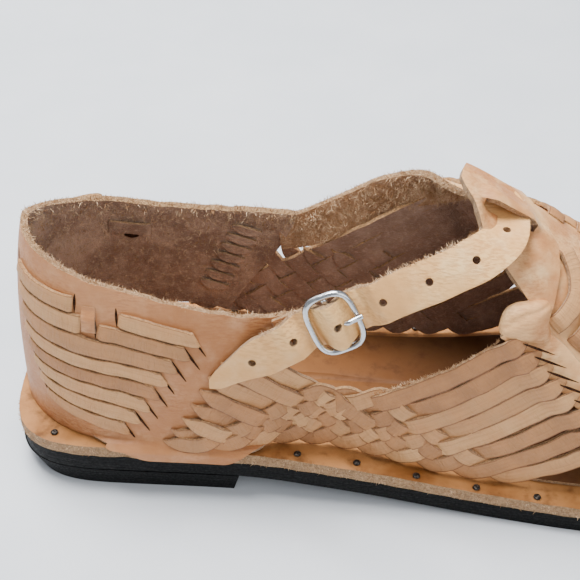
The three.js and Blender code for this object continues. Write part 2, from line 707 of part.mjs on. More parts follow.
// The prong lies on the strap's rise and its tip on the end of the frame
function buckleProng() {
  const half = FRAME_LENGTH / 2;
  const rest = WIRE / 2 + SEAT + PRONG.radius;
  const rise = BAR_OFFSET * Math.cos((Math.PI * PRONG.start) / half) + STRAP_THICK / 2;
  const places = [
    [-PRONG.start, rise + SEAT + PRONG.radius * 1.8],
    [-half * 0.7, rest + 0.5],
    [-half, rest],
    [-half - PRONG.reach, rest - 0.2],
  ];
  return loft(places.map(([a, c]) => (
    circle(atBuckle(a, 0, c), buckle.across, buckle.off, PRONG.radius, 6)
  )));
}

const CHAPE = { wide: 11, thick: 1.6, length: 19 };

// Leather chape that holds the centre bar, from the counter's front corner, under the strap
function buckleChape(clear) {
  const inner = -(BAR_OFFSET + (STRAP_THICK + CHAPE.thick) / 2 + 2 * SEAT);
  const places = [
    [CHAPE.length + clear, inner + 0.2],
    [CHAPE.length * 0.6, inner],
    [FRAME_LENGTH * 0.35, inner],
    [WIRE / 2 + 1.4, -WIRE / 2 - SEAT - CHAPE.thick / 2],
    [-clear - 1, -WIRE / 2 - SEAT - CHAPE.thick / 2],
  ];
  const half = CHAPE.wide / 2 + clear;
  const thick = CHAPE.thick / 2 + clear;
  return loft(places.map(([a, c]) => [
    atBuckle(a, -half, c - thick),
    atBuckle(a, half, c - thick),
    atBuckle(a, half, c + thick),
    atBuckle(a, -half, c + thick),
  ]));
}

// The whole upper, joined, then freed from the strap and the chape that pass it
function upper() {
  const tab = wall(evenly(3), evenly(10), tabPlace, TAB_WALL / 2, -TAB_WALL / 2, () => 0, 10);
  const parts = [counter(), vamp(), tab];
  for (const side of [-1, 1]) {
    parts.push(braidWall(side), fanWall(side), band(side), ...braidTiles(side));
  }
  const passing = strapSolid(STRAP_CLEAR).add(toSolid(buckleChape(STRAP_CLEAR)));
  const solid = joined(parts).simplify(SMOOTHING).subtract(passing);
  const welded = toSolid(toGeometry(solid.simplify(SLIVER)), WELD);
  const pieces = welded.simplify(SLIVER).decompose().sort((a, b) => b.volume() - a.volume());
  return toGeometry(pieces[0]);
}

// Insole, inside the upper's foot
function insole() {
  const inset = WEAVE_WALL + INSOLE_CLEAR;
  const turns = range(33).map((i) => mix(HEEL_START + 1, TOE_END - 1, i / 32));
  return loft(turns.map((station) => {
    const right = footLine(-1, station);
    const left = footLine(1, station);
    const centre = new THREE.Vector3(mix(HEEL_CENTRE, TOE_CENTRE, 0.5), 0, 0);
    const ring = [[right, INSOLE], [left, INSOLE], [left, 0], [right, 0]];
    return ring.map(([[x, y], rise]) => {
      const pull = new THREE.Vector3(centre.x - x, -y * 3, 0).normalize().multiplyScalar(inset);
      return new THREE.Vector3(x + pull.x, y + pull.y, bed(x) + SEAT + rise);
    });
  }));
}

// Nails on the ledge, half way between the upper's foot and the sole's edge
function nailPlaces() {
  const places = [[0.053, -1], [0.053, 1], [0.246, 1]].map(([at, side]) => [at * SOLE_LENGTH, side]);
  const first = 0.343 * SOLE_LENGTH;
  const count = Math.floor((TOE_CENTRE + 0.06 * SOLE_LENGTH - first) / NAIL_PITCH) + 1;
  for (const i of range(count)) {
    places.push([first + i * NAIL_PITCH, -1], [first + i * NAIL_PITCH, 1]);
  }
  return places;
}

function nail([station, side]) {
  const [x, y] = footLine(side, station);
  const edge = side * soleHalf(side, x);
  const middle = mix(y, edge, NAIL_SHARE);
  const floor = bed(x) + NAIL_CLEAR;
  const ring = (high, radius) => circle(
    new THREE.Vector3(x, middle, floor + high),
    new THREE.Vector3(1, 0, 0),
    new THREE.Vector3(0, 1, 0),
    radius,
    6,
  );
  return loft([ring(0, NAIL_HEAD / 2), ring(NAIL_RISE / 2, NAIL_HEAD / 2), ring(NAIL_RISE, NAIL_HEAD / 4)]);
}

// Materials
const finish = (color, roughness, metalness = 0) => (
  () => new THREE.MeshStandardMaterial({ color, roughness, metalness, flatShading: true })
);
const tan = finish('#c6966b', 0.6);
const paleTan = finish('#ddb887', 0.55);
const soleLeather = finish('#b8824f', 0.65);
const bedLeather = finish('#b07f57', 0.6);
const rubber = finish('#191918', 0.85);
const nickel = finish('#c9cbce', 0.25, 1);
const iron = finish('#4b453f', 0.5, 1);

const sandal = new THREE.Group();

function add(name, geometry, material) {
  const mesh = new THREE.Mesh(geometry, material());
  mesh.name = name;
  sandal.add(mesh);
}

add('outsole', outsole(), rubber);
add('heel_block', heelBlock(), rubber);
add('leather_sole', leatherSole(), soleLeather);
add('insole', insole(), bedLeather);
add('upper', upper(), tan);
add('ankle_strap', ankleStrap(), paleTan);
add('buckle_frame', buckleFrame(), nickel);
add('buckle_prong', buckleProng(), nickel);
add('buckle_chape', buckleChape(0), tan);
nailPlaces().forEach((place, i) => add(`nail_${String(i + 1).padStart(2, '0')}`, nail(place), iron));

// The origin is on the floor, under the middle of the sole
const soleBox = new THREE.Box3().setFromObject(sandal);
sandal.position.set(-(soleBox.min.x + soleBox.max.x) / 2, -(soleBox.min.y + soleBox.max.y) / 2, 0);

export default sandal;
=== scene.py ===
import math

import bmesh
import bpy
import numpy as np
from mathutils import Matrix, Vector


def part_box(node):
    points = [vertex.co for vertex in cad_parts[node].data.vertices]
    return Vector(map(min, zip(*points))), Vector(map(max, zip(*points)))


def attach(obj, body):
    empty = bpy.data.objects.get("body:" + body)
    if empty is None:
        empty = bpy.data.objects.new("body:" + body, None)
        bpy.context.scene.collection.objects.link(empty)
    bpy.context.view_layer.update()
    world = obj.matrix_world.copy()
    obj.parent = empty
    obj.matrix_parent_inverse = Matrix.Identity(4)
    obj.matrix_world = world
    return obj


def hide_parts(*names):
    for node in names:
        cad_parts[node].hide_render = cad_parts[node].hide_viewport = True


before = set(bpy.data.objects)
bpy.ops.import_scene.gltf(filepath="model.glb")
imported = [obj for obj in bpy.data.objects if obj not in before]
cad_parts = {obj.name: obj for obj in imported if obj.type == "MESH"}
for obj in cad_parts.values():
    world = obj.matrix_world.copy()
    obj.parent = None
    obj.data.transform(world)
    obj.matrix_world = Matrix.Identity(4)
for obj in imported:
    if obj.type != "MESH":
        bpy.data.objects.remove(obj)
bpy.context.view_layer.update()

bl_info = {
    "name": "Huarache sandal",
    "version": (1, 0, 0),
    "blender": (4, 5, 0),
    "location": "View3D > Sidebar > Sandal",
    "description": "Dresses the right shoe of a pair of woven leather sandals",
    "category": "Mesh",
}

SEED = np.random.default_rng(7)

# Sizes in millimetres. The last is worked out from the heel's back at x = 0, and the frame's box
# says where the heel's back and the middle of the width lie in the row's frame.
SOLE_LOW, SOLE_HIGH = (np.array(corner) * 1000 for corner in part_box("leather_sole"))
SOLE_LENGTH = SOLE_HIGH[0] - SOLE_LOW[0]
BALL_WIDTH = SOLE_HIGH[1] - SOLE_LOW[1]
HALF = BALL_WIDTH / 2
MIDDLE = (SOLE_HIGH[1] + SOLE_LOW[1]) / 2
HEEL_WIDTH = 76
INSTEP = 96
COLLAR = 59
HEEL_BLOCK = 7.9
HEEL_LENGTH = 79
RUBBER = 6.9
LEATHER = 4.4
SEAT = 0.3
RUBBER_INSET = 0.8
HEEL_UNDERCUT = 4
HEEL_BREAST = 2
HEEL_FLARE = 1.5
HEEL_SQUARE = 3.6
TOE_SQUARE = 2.1
TOE_SHIFT = 0.12
TOE_SPRING = 6.5
TOE_LEDGE = 8
HEEL_LEDGE = 1.8
HEEL_ROUND = 2.6
TOE_CREEP = 0.04
BALL_LEVEL = RUBBER + SEAT + LEATHER
HEEL_LEVEL = HEEL_BLOCK + SEAT + BALL_LEVEL
HEEL_CENTRE = 0.14 * SOLE_LENGTH
TOE_CENTRE = 0.826 * SOLE_LENGTH
HEEL_RUN = 0.2 * SOLE_LENGTH
TOE_RUN = 0.215 * SOLE_LENGTH
HEEL_START = HEEL_CENTRE - HEEL_RUN
TOE_END = TOE_CENTRE + TOE_RUN
OUTER = -1
INNER = 1

# Tables: shares of the sole's length, then shares of half the ball width or of the instep height
SOLE_SIDE = {
    "at": (0.14, 0.28, 0.38, 0.47, 0.57, 0.67, 0.75, 0.826),
    OUTER: (0.76, 0.76, 0.79, 0.82, 0.88, 0.95, 0.99, 0.98),
    INNER: (0.76, 0.74, 0.72, 0.75, 0.86, 0.96, 1.01, 0.98),
}
FOOT_SIDE = {
    "at": (0.14, 0.21, 0.27, 0.33, 0.38, 0.43, 0.51, 0.6, 0.7, 0.826),
    OUTER: (0.68, 0.72, 0.7, 0.63, 0.61, 0.65, 0.73, 0.78, 0.83, 0.84),
    INNER: (0.65, 0.65, 0.63, 0.6, 0.58, 0.59, 0.66, 0.76, 0.87, 0.84),
}
BED = {
    "at": (0.0, 0.28, 0.38, 0.52, 0.64, 0.8, 0.9, 1.0),
    "drop": (0, 0, 0.25, 0.8, 1, 1, 1, 1),
    "spring": (0, 0, 0, 0, 0, 0, 0.23, 1),
}
RIDGE = {
    "at": (0.14, 0.38, 0.45, 0.51, 0.54, 0.594, 0.65, 0.73, 0.826),
    "high": (1.09, 1.08, 1.05, 1.0, 0.96, 0.86, 0.74, 0.565, 0.4),
    "shift": (0.0, 0.0, 0.01, 0.02, 0.02, 0.03, 0.04, 0.06, 0.07),
    "round": (1.85, 1.87, 1.95, 2.1, 2.12, 2.12, 2.15, 2.2, 2.3),
}
# Edges of the counter on each side, as shares of the collar's height
COUNTER_EDGE = {
    OUTER: {
        "at": (-0.06, 0.05, 0.14, 0.21, 0.26, 0.29, 0.315, 0.34),
        "low": (0, 0, 0, 0, 0, 0.22, 0.45, 0.7),
        "top": (1.16, 1.12, 1.03, 0.965, 0.92, 0.9, 0.9, 0.92),
    },
    INNER: {
        "at": (-0.06, 0.05, 0.14, 0.2, 0.24, 0.27, 0.31, 0.326),
        "low": (0, 0, 0.08, 0.1, 0.09, 0.32, 0.66, 0.86),
        "top": (1.16, 1.0, 0.93, 0.91, 0.91, 0.92, 0.93, 0.93),
    },
}


# The last
def column(table, key, x):
    """A smooth curve through one column of a table."""
    at = np.asarray(table["at"], float)
    value = np.asarray(table[key], float)
    share = np.clip(np.asarray(x, float) / SOLE_LENGTH, at[0], at[-1])
    slope = np.gradient(value, at, edge_order=1)
    slope[1:-1] = (value[2:] - value[:-2]) / (at[2:] - at[:-2])
    i = np.clip(np.searchsorted(at, share, side="right") - 1, 0, len(at) - 2)
    width = at[i + 1] - at[i]
    u = (share - at[i]) / width
    v = 1 - u
    start = value[i] * (1 + 2 * u) * v * v + slope[i] * width * u * v * v
    return start + value[i + 1] * u * u * (3 - 2 * u) - slope[i + 1] * width * u * u * v


def side_column(table, side, x):
    return np.where(side > 0, column(table, INNER, x), column(table, OUTER, x))


def mix(a, b, u):
    return a + (b - a) * u


def smooth(u, low=0.0, high=1.0):
    """A smooth step from 0 at low to 1 at high."""
    t = np.clip((np.asarray(u, float) - low) / (high - low), 0, 1)
    return t * t * (3 - 2 * t)


def bed(x):
    drop = column(BED, "drop", x) * (HEEL_LEVEL - BALL_LEVEL)
    spring = np.maximum(column(BED, "spring", x), 0) * TOE_SPRING
    return np.maximum(HEEL_LEVEL - drop, BALL_LEVEL) + spring


def broadcast(*values):
    return np.broadcast_arrays(*(np.asarray(value, float) for value in values))


def unit(vectors):
    return vectors / (np.linalg.norm(vectors, axis=-1, keepdims=True) + 1e-9)


def square_to(vectors, along):
    """What is left of vectors when their share along unit vectors is taken out."""
    return vectors - (vectors * along).sum(1, keepdims=True) * along


def signed_power(x, power):
    return np.sign(x) * np.abs(x) ** power


def run_along(points):
    """Distances along a polyline."""
    return np.r_[0, np.cumsum(np.linalg.norm(np.diff(points, axis=0), axis=1))]


def places_at(distance, run, points):
    """Points of a polyline at distances along it."""
    return np.stack([np.interp(distance, run, points[:, k]) for k in range(points.shape[1])], -1)


def end_turns(station):
    """How far a station has turned round the heel and round the toe."""
    back = np.clip((HEEL_CENTRE - station) / HEEL_RUN, 0, 1) * np.pi / 2
    fore = np.clip((station - TOE_CENTRE) / TOE_RUN, 0, 1) * np.pi / 2
    return back, fore


def by_part(station, heel, toe, between):
    return np.where(station < HEEL_CENTRE, heel, np.where(station > TOE_CENTRE, toe, between))


def foot_line(side, station):
    """Where the upper meets the bed: past the heel's and toe's centres stations run round the end."""
    side, station = broadcast(side, station)
    back, fore = end_turns(station)
    half = side * HALF * side_column(FOOT_SIDE, side, station)
    heel_x = HEEL_CENTRE - (HEEL_CENTRE - HEEL_LEDGE) * np.sin(back)
    heel_y = side * HALF * np.where(side > 0, FOOT_SIDE[INNER][0], FOOT_SIDE[OUTER][0]) * np.cos(back)
    toe_x = TOE_CENTRE + (SOLE_LENGTH - TOE_LEDGE - TOE_CENTRE) * np.sin(fore)
    toe_y = mix(TOE_SHIFT * HALF, half, np.cos(fore))
    return by_part(station, heel_x, toe_x, station), by_part(station, heel_y, toe_y, half)


def sole_line(side, station):
    """The sole's outline at the same stations, boxy round the heel."""
    side, station = broadcast(side, station)
    back, fore = end_turns(station)
    half = side * HALF * side_column(SOLE_SIDE, side, station)
    heel_x = HEEL_CENTRE * (1 - np.sin(back) ** (2 / HEEL_SQUARE))
    heel_y = side * HEEL_WIDTH / 2 * np.cos(back) ** (2 / HEEL_SQUARE)
    toe_x = TOE_CENTRE + (SOLE_LENGTH - TOE_CENTRE) * np.sin(fore) ** (2 / TOE_SQUARE)
    toe_y = mix(TOE_SHIFT * HALF, half, np.cos(fore) ** (2 / TOE_SQUARE))
    return by_part(station, heel_x, toe_x, station), by_part(station, heel_y, toe_y, half)


def ridge(station):
    station = np.asarray(station, float)
    x = np.clip(station, HEEL_CENTRE, TOE_CENTRE)
    back = np.clip((HEEL_CENTRE - station) / HEEL_RUN, 0, 1)
    far = x + TOE_CREEP * np.maximum(station - TOE_CENTRE, 0)
    power = mix(column(RIDGE, "round", x), HEEL_ROUND, back)
    return far, column(RIDGE, "shift", x) * BALL_WIDTH, column(RIDGE, "high", x) * INSTEP, power


def last_point(side, station, share):
    """Share 0 is the foot of one side, 1 the ridge and 2 the foot of the other side."""
    side, station, share = broadcast(side, station, share)
    up = np.where(share > 1, 2 - share, share) * np.pi / 2
    x, y = foot_line(np.where(share > 1, -side, side), station)
    top_x, top_y, high, power = ridge(station)
    out = np.abs(np.cos(up)) ** (2 / power)
    rise = np.abs(np.sin(up)) ** (2 / power)
    px = mix(top_x, x, out)
    return np.stack([px, mix(top_y, y, out), bed(px) + SEAT + high * rise], -1)


def on_last(side, station, share, lift=0.0):
    side, station, share, lift = broadcast(side, station, share, lift)
    along = last_point(side, station + 0.5, share) - last_point(side, station - 0.5, share)
    over = last_point(side, station, np.clip(share + 0.01, 0, 2))
    over = over - last_point(side, station, np.clip(share - 0.01, 0, 2))
    return last_point(side, station, share) + unit(np.cross(along, over)) * (-side * lift)[..., None]


def share_at(station, height):
    _, _, high, power = ridge(station)
    part = np.clip(np.asarray(height, float) / high, 0, 1)
    return np.arcsin(part ** (power / 2)) * 2 / np.pi


def on_side(side, station, height, lift=0.0):
    return on_last(side, station, share_at(station, height), lift)


def to_row(points):
    """Millimetres from the heel's back turned into the row frame's metres."""
    shift = np.array([SOLE_LOW[0], MIDDLE, 0])
    return (np.asarray(points, float) + shift) / 1000


def wander(x, size, seed):
    """Soft irregular waviness about 0, of about 1, with a wavelength of about size."""
    rng = np.random.default_rng(seed)
    phase = rng.uniform(0, 2 * np.pi, 4)
    rate = rng.uniform(0.6, 1.7, 4) * 2 * np.pi / size
    return sum(np.sin(np.asarray(x) * r + p) for r, p in zip(rate, phase)) / 2.4


# Mesh helpers
def nothing_selected():
    bpy.ops.object.select_all(action="DESELECT")


def active(piece):
    nothing_selected()
    piece.select_set(True)
    bpy.context.view_layer.objects.active = piece


def coordinates(mesh):
    flat = np.empty(len(mesh.vertices) * 3, np.float32)
    mesh.vertices.foreach_get("co", flat)
    return flat.reshape(-1, 3).astype(float)


def set_coordinates(mesh, points):
    mesh.vertices.foreach_set("co", np.asarray(points, np.float32).ravel())
    mesh.update()


def set_shade(mesh, values):
    shade = mesh.attributes.get("shade") or mesh.attributes.new("shade", "FLOAT", "POINT")
    whole = np.broadcast_to(np.asarray(values, np.float32), (len(mesh.vertices),))
    shade.data.foreach_set("value", np.ascontiguousarray(whole))


def grid(name, steps, place, lift=0.0, size=(10.0, 10.0), shade=0.5):
    """A grid whose points go to place(u, v, lift), facing the way that lift goes.

    Its UV map holds the distance along and across in centimetres, from its size in millimetres.
    """
    nothing_selected()
    bpy.ops.mesh.primitive_grid_add(x_subdivisions=steps[0], y_subdivisions=steps[1], size=2)
    piece = bpy.context.object
    piece.name = name
    mesh = piece.data
    mesh.name = name
    shares = (coordinates(mesh)[:, :2] + 1) / 2
    u, v = shares[:, 0], shares[:, 1]
    points = place(u, v, lift)
    away = place(u, v, lift + 0.5) - points
    set_coordinates(mesh, to_row(points))
    normals = np.array([vertex.normal for vertex in mesh.vertices])
    if (normals * away).sum() < 0:
        mesh.flip_normals()
    uv = np.empty(len(mesh.loops) * 2, np.float32)
    mesh.uv_layers.active.data.foreach_get("uv", uv)
    uv = uv.reshape(-1, 2) * np.array(size) / 10
    mesh.uv_layers.active.data.foreach_set("uv", uv.astype(np.float32).ravel())
    set_shade(mesh, shade)
    return piece


def joined(name, pieces):
    active(pieces[0])
    for piece in pieces:
        piece.select_set(True)
    if len(pieces) > 1:
        bpy.ops.object.join()
    whole = bpy.context.object
    whole.name = name
    whole.data.name = name
    return whole


def edited(piece, change):
    """Runs a change on the piece's mesh."""
    bm = bmesh.new()
    bm.from_mesh(piece.data)
    change(bm)
    bm.to_mesh(piece.data)
    bm.free()


def face_outwards(piece):
    edited(piece, lambda bm: bmesh.ops.recalc_face_normals(bm, faces=bm.faces))


def delete_faces(piece, chosen):
    """Deletes a grid's faces for which chosen says yes to the middle of their UVs."""
    def change(bm):
        uv = bm.loops.layers.uv.active
        gone = []
        for face in bm.faces:
            middle = (sum(loop[uv].uv[k] for loop in face.loops) / 4 for k in (0, 1))
            if chosen(*middle):
                gone.append(face)
        bmesh.ops.delete(bm, geom=gone, context="FACES")
    edited(piece, change)


def ball(name, segments, rings):
    """A sphere of radius 1, and its points."""
    nothing_selected()
    bpy.ops.mesh.primitive_uv_sphere_add(segments=segments, ring_count=rings, radius=1)
    piece = bpy.context.object
    piece.name = name
    return piece, coordinates(piece.data)


def modified(piece, kind, **settings):
    active(piece)
    change = piece.modifiers.new(kind.title(), kind)
    for key, value in settings.items():
        setattr(change, key, value)
    bpy.ops.object.modifier_apply(modifier=change.name)


def bevelled(piece, width, segments):
    modified(piece, "BEVEL", width=width / 1000, segments=segments, limit_method="ANGLE",
             angle_limit=math.radians(50), use_clamp_overlap=True)


def thicken(piece, thick, bevel=0.3, segments=2):
    """Gives a sheet its thickness, with the back and the cut edge in the next two materials."""
    while len(piece.data.materials) < 3:
        piece.data.materials.append(None)
    modified(piece, "SOLIDIFY", thickness=thick / 1000, offset=-1, use_even_offset=False,
             use_quality_normals=True, material_offset=1, material_offset_rim=2)
    if bevel:
        bevelled(piece, bevel, segments)


def finish(piece, look, slot, *nodes, angle=50):
    """Materials, smooth shading, body and the nodes that the piece stands for. The slot is not used.
    """
    indices = [polygon.material_index for polygon in piece.data.polygons]
    piece.data.materials.clear()
    for name in look:
        piece.data.materials.append(MATERIALS[name])
    top = len(look) - 1
    piece.data.polygons.foreach_set("material_index", [min(i, top) for i in indices])
    active(piece)
    bpy.ops.object.shade_smooth_by_angle(angle=math.radians(angle))
    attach(piece, "root")
    if nodes:
        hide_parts(*nodes)


def upper_part(name, sheets, look, thick, bevel=0.3, segments=2):
    """One leather piece of the upper from its sheets."""
    piece = joined(name, sheets)
    thicken(piece, thick, bevel, segments)
    finish(piece, look, "upper_leather", "upper")


# Ribbons
FINE = 400


def rounded(points, count, radius):
    """Even places along a polyline whose corners are rounded by about that radius."""
    points = np.asarray(points, float)
    run = run_along(points)
    line = places_at(np.linspace(0, run[-1], FINE), run, points)
    step = run[-1] / (FINE - 1)
    pad = max(int(radius / step), 1) + 1
    kernel = np.hanning(2 * pad + 1)
    kernel /= kernel.sum()
    first = 2 * line[0] - line[pad:0:-1]
    final = 2 * line[-1] - line[-2:-pad - 2:-1]
    whole = np.vstack([first, line, final])
    line = np.stack([np.convolve(part, kernel, "valid") for part in whole.T], -1)
    run = run_along(line)
    return places_at(np.linspace(0, run[-1], count), run, line)


def ribbon(name, centre, normal, width, crown=0.12, across=6, shade=0.5, seed=0, slant=0.0):
    """A strip of leather along points, with a normal and a width at each of them."""
    centre = np.asarray(centre, float)
    top = len(centre) - 1
    tangent = unit(np.gradient(centre, axis=0))
    normal = unit(square_to(normal, tangent))
    sideways = np.cross(normal, tangent)
    run = run_along(centre)
    width, slant, _ = broadcast(width, slant, run)
    wave = wander(run, 14, seed) * 0.16
    ripple = wander(run, 5.5, seed + 1) * 0.05

    def place(u, v, lift):
        row = np.clip(np.rint(u * top).astype(int), 0, top)
        w = 2 * v - 1
        out = w * width[row] / 2 + signed_power(w, 3) * wave[row]
        high = lift + crown * (1 - w * w) + ripple[row] * (1 + w)
        on = tangent[row] * (slant[row] * w * width[row] / 2)[:, None]
        return centre[row] + on + sideways[row] * out[:, None] + normal[row] * high[:, None]

    return grid(name, (top, across), place, 0.0, (run[-1], 10.0), shade)


def side_ribbon(name, side, path, lift, width, **settings):
    """A ribbon on one side of the last, along [station, height] places with a lift at each."""
    station, height = np.asarray(path, float).T
    centre = on_side(side, station, height, lift)
    normal = on_side(side, station, height, 1.0) - on_side(side, station, height, 0.0)
    return ribbon(name, centre, normal, width, **settings)


# Loose fibres: a long grid's own UV map drifts, so they are made in short lots
LOT = 1000
FIBRE_WIDTH = 0.26
FIBRE_BEND = 0.5


def blades(name, slot, roots, ways, length):
    """Thin bent blades from their roots, along their ways."""
    lots = []
    for at in range(0, len(roots), LOT):
        part = slice(at, at + LOT)
        lots.append(blade_lot(name, roots[part], ways[part], length[part]))
    finish(joined(name, lots), ["fibre"], slot)


def blade_lot(name, roots, ways, length):
    count = len(roots)
    rng = np.random.default_rng(count)
    ways = unit(ways)
    aside = unit(np.cross(ways, rng.normal(size=(count, 3))))
    curl = rng.normal(size=(count, 3)) * FIBRE_BEND * 0.6
    columns = 2 * count - 1

    def place(u, v, lift):
        column_at = np.rint(u * columns).astype(int)
        blade = column_at // 2
        flank = np.where(column_at % 2, 1, -1) * (1 - 0.75 * v) * FIBRE_WIDTH / 2
        reach = (v * length[blade])[:, None]
        point = roots[blade] + ways[blade] * reach + curl[blade] * reach * v[:, None]
        return point + aside[blade] * flank[:, None] + lift

    piece = grid(name, (columns, 2), place)
    delete_faces(piece, lambda u, v: int(u * columns) % 2)
    return piece


# Materials
def linear(code):
    """sRGB hex as a linear colour with alpha."""
    parts = [int(code[i:i + 2], 16) / 255 for i in (1, 3, 5)]
    return [p / 12.92 if p <= 0.04045 else ((p + 0.055) / 1.055) ** 2.4 for p in parts] + [1.0]


def hex_property(name, description, code):
    return bpy.props.FloatVectorProperty(
        name=name, description=description, subtype="COLOR", size=4, min=0, max=1,
        default=linear(code),
    )


def add(tree, kind, inputs=None, **settings):
    """Adds a node with its settings, and gives its inputs values or links."""
    made = tree.nodes.new(kind)
    for key, value in settings.items():
        setattr(made, key, value)
    return filled(tree, made, inputs or {})


def per(millimetres):
    """The scale of a texture whose features are that far apart, on coordinates in metres."""
    return 1000 / millimetres


def blank(name, constants):
    """A new material with its shader's constant sockets set, its tree and Object coordinates."""
    material = bpy.data.materials.new(name)
    material.use_nodes = True
    tree = material.node_tree
    tree.nodes.clear()
    shader = add(tree, "ShaderNodeBsdfPrincipled", constants)
    output = tree.nodes.new("ShaderNodeOutputMaterial")
    tree.links.new(shader.outputs["BSDF"], output.inputs["Surface"])
    place = tree.nodes.new("ShaderNodeTexCoord").outputs["Object"]
    return (material, shader), tree, place


def noise(tree, place, size, detail=4.0, rough=0.55, lacunarity=2.0):
    made = add(tree, "ShaderNodeTexNoise", {
        "Vector": place, "Scale": per(size), "Detail": detail, "Roughness": rough,
        "Lacunarity": lacunarity,
    })
    return made.outputs["Fac"]


def stretch(tree, value, low, high, to_low=0.0, to_high=1.0):
    made = add(tree, "ShaderNodeMapRange", {
        "Value": value, "From Min": low, "From Max": high, "To Min": to_low, "To Max": to_high,
    }, interpolation_type="SMOOTHSTEP")
    return made.outputs["Result"]


def filled(tree, made, values):
    """Gives a node's inputs values or links, by number."""
    for socket, value in values.items():
        if isinstance(value, bpy.types.NodeSocket):
            tree.links.new(value, made.inputs[socket])
        else:
            made.inputs[socket].default_value = value
    return made


def blend(tree, share, a, b, kind="MIX"):
    made = add(tree, "ShaderNodeMix", data_type="RGBA", blend_type=kind)
    return filled(tree, made, {0: share, 6: a, 7: b}).outputs[2]


def maths(tree, kind, a, b=0.0):
    return filled(tree, add(tree, "ShaderNodeMath", operation=kind), {0: a, 1: b}).outputs[0]


def surface(made, tree, colour, heights=(), rough=None):
    """Links the colour, bumps of (height field, depth in millimetres) on each other, and roughness."""
    material, shader = made
    if colour:
        tree.links.new(colour, shader.inputs["Base Color"])
    if rough:
        tree.links.new(rough, shader.inputs["Roughness"])
    normal = None
    for height, depth in heights:
        inputs = {"Height": height, "Distance": depth / 1000, "Strength": 1.0}
        if normal:
            inputs["Normal"] = normal
        normal = add(tree, "ShaderNodeBump", inputs).outputs["Normal"]
        tree.links.new(normal, shader.inputs["Normal"])
    return material


def creases(tree, place, size, squash=(1.0, 1.0, 1.0), turn=(0.0, 0.0, 0.0)):
    """Fine wrinkles: distance to the edges of stretched cells, bent by a soft noise."""
    bend = add(tree, "ShaderNodeTexNoise", {"Vector": place, "Scale": per(size * 2.5), "Detail": 2.0})
    shift = add(tree, "ShaderNodeVectorMath", {0: bend.outputs["Color"], "Scale": size / 1000},
                operation="SCALE").outputs[0]
    moved = add(tree, "ShaderNodeVectorMath", {0: place, 1: shift}, operation="ADD").outputs[0]
    turned = add(tree, "ShaderNodeMapping", {"Vector": moved, "Scale": squash, "Rotation": turn})
    cells = add(tree, "ShaderNodeTexVoronoi", {
        "Vector": turned.outputs["Vector"], "Scale": per(size),
    }, feature="DISTANCE_TO_EDGE")
    return stretch(tree, cells.outputs["Distance"], 0.0, 0.22)


# Vegetable-tanned cowhide, grain side, oiled: warm orange tan, patchy, with tight fine wrinkles
# that catch the light as short pale threads.
def grain_leather(name, base, dark, pale, wrinkle=0.9, depth=0.12, gloss=0.52):
    made, tree, place = blank(name, {"IOR": 1.45})
    patches = noise(tree, place, 22, 3.0)
    clouds = noise(tree, place, 7, 4.0)
    turned = add(tree, "ShaderNodeMapping", {
        "Vector": place, "Rotation": (0.0, 0.75, 0.0), "Scale": (0.3, 0.8, 1.25),
    })
    lines = noise(tree, turned.outputs["Vector"], wrinkle, 3.0, 0.6)
    where = stretch(tree, noise(tree, place, 30, 2.0), 0.42, 0.6, 0.15, 1.0)
    fold = blend(tree, where, linear("#BCBCBC"), stretch(tree, lines, 0.36, 0.6))
    pores = noise(tree, place, 0.7, 3.0)
    colour = blend(tree, stretch(tree, patches, 0.35, 0.68), dark, base)
    colour = blend(tree, stretch(tree, clouds, 0.45, 0.8, 0.0, 0.55), colour, pale)
    ridges = blend(tree, fold, linear("#B98558"), linear("#FFFFFF"))
    colour = blend(tree, 0.4, colour, ridges, "MULTIPLY")
    rough = stretch(tree, pores, 0.3, 0.7, gloss - 0.08, gloss + 0.14)
    return surface(made, tree, colour, [(clouds, 0.5), (fold, depth), (pores, 0.05)], rough)


# Split strips of the same cowhide: paler and drier, each a little different, with painted shade along
# its edges where the strips meet, with faint lengthwise streaks and cross creases where it bends.
def strip_leather(name, base, dark, pale):
    made, tree, place = blank(name, {"IOR": 1.45})
    shade = add(tree, "ShaderNodeAttribute", attribute_name="shade").outputs["Fac"]
    along = tree.nodes.new("ShaderNodeUVMap").outputs["UV"]
    sideways = add(tree, "ShaderNodeSeparateXYZ", {0: along}).outputs["Y"]
    # Painted shade: the strip darkens towards its long edges, where the gaps between strips fall in
    # shade
    off_middle = maths(tree, "ABSOLUTE", maths(tree, "SUBTRACT", sideways, 0.5))
    edge_painted_shade = stretch(tree, off_middle, 0.41, 0.5, 0.0, 0.9)
    streaks, folds = (
        add(tree, "ShaderNodeTexNoise", {
            "Vector": add(tree, "ShaderNodeMapping", {"Vector": along, "Scale": scale}).outputs[0],
            "Scale": size, "Detail": detail,
        }).outputs["Fac"]
        for scale, size, detail in (((0.35, 5.0, 1.0), 1.6, 4.0), ((7.0, 0.7, 1.0), 1.5, 5.0))
    )
    patches = noise(tree, place, 9, 4.0)
    pores = noise(tree, place, 0.8, 3.0)
    colour = blend(tree, stretch(tree, shade, 0.0, 1.0), dark, pale)
    colour = blend(tree, stretch(tree, patches, 0.3, 0.75, 0.0, 0.6), colour, base)
    colour = blend(tree, stretch(tree, streaks, 0.4, 0.75, 0.0, 0.35), colour, dark)
    grime = stretch(tree, noise(tree, place, 2.6, 5.0), 0.62, 0.8, 0.0, 0.4)
    colour = blend(tree, grime, colour, linear("#7E4F2B"))
    # Paints that shade dark brown along the strip's edges
    colour = blend(tree, edge_painted_shade, colour, linear("#6B4024"))
    creased = stretch(tree, folds, 0.42, 0.62)
    heights = [(patches, 0.35), (creased, 0.12), (streaks, 0.12), (pores, 0.05)]
    return surface(made, tree, colour, heights, stretch(tree, pores, 0.3, 0.7, 0.5, 0.7))


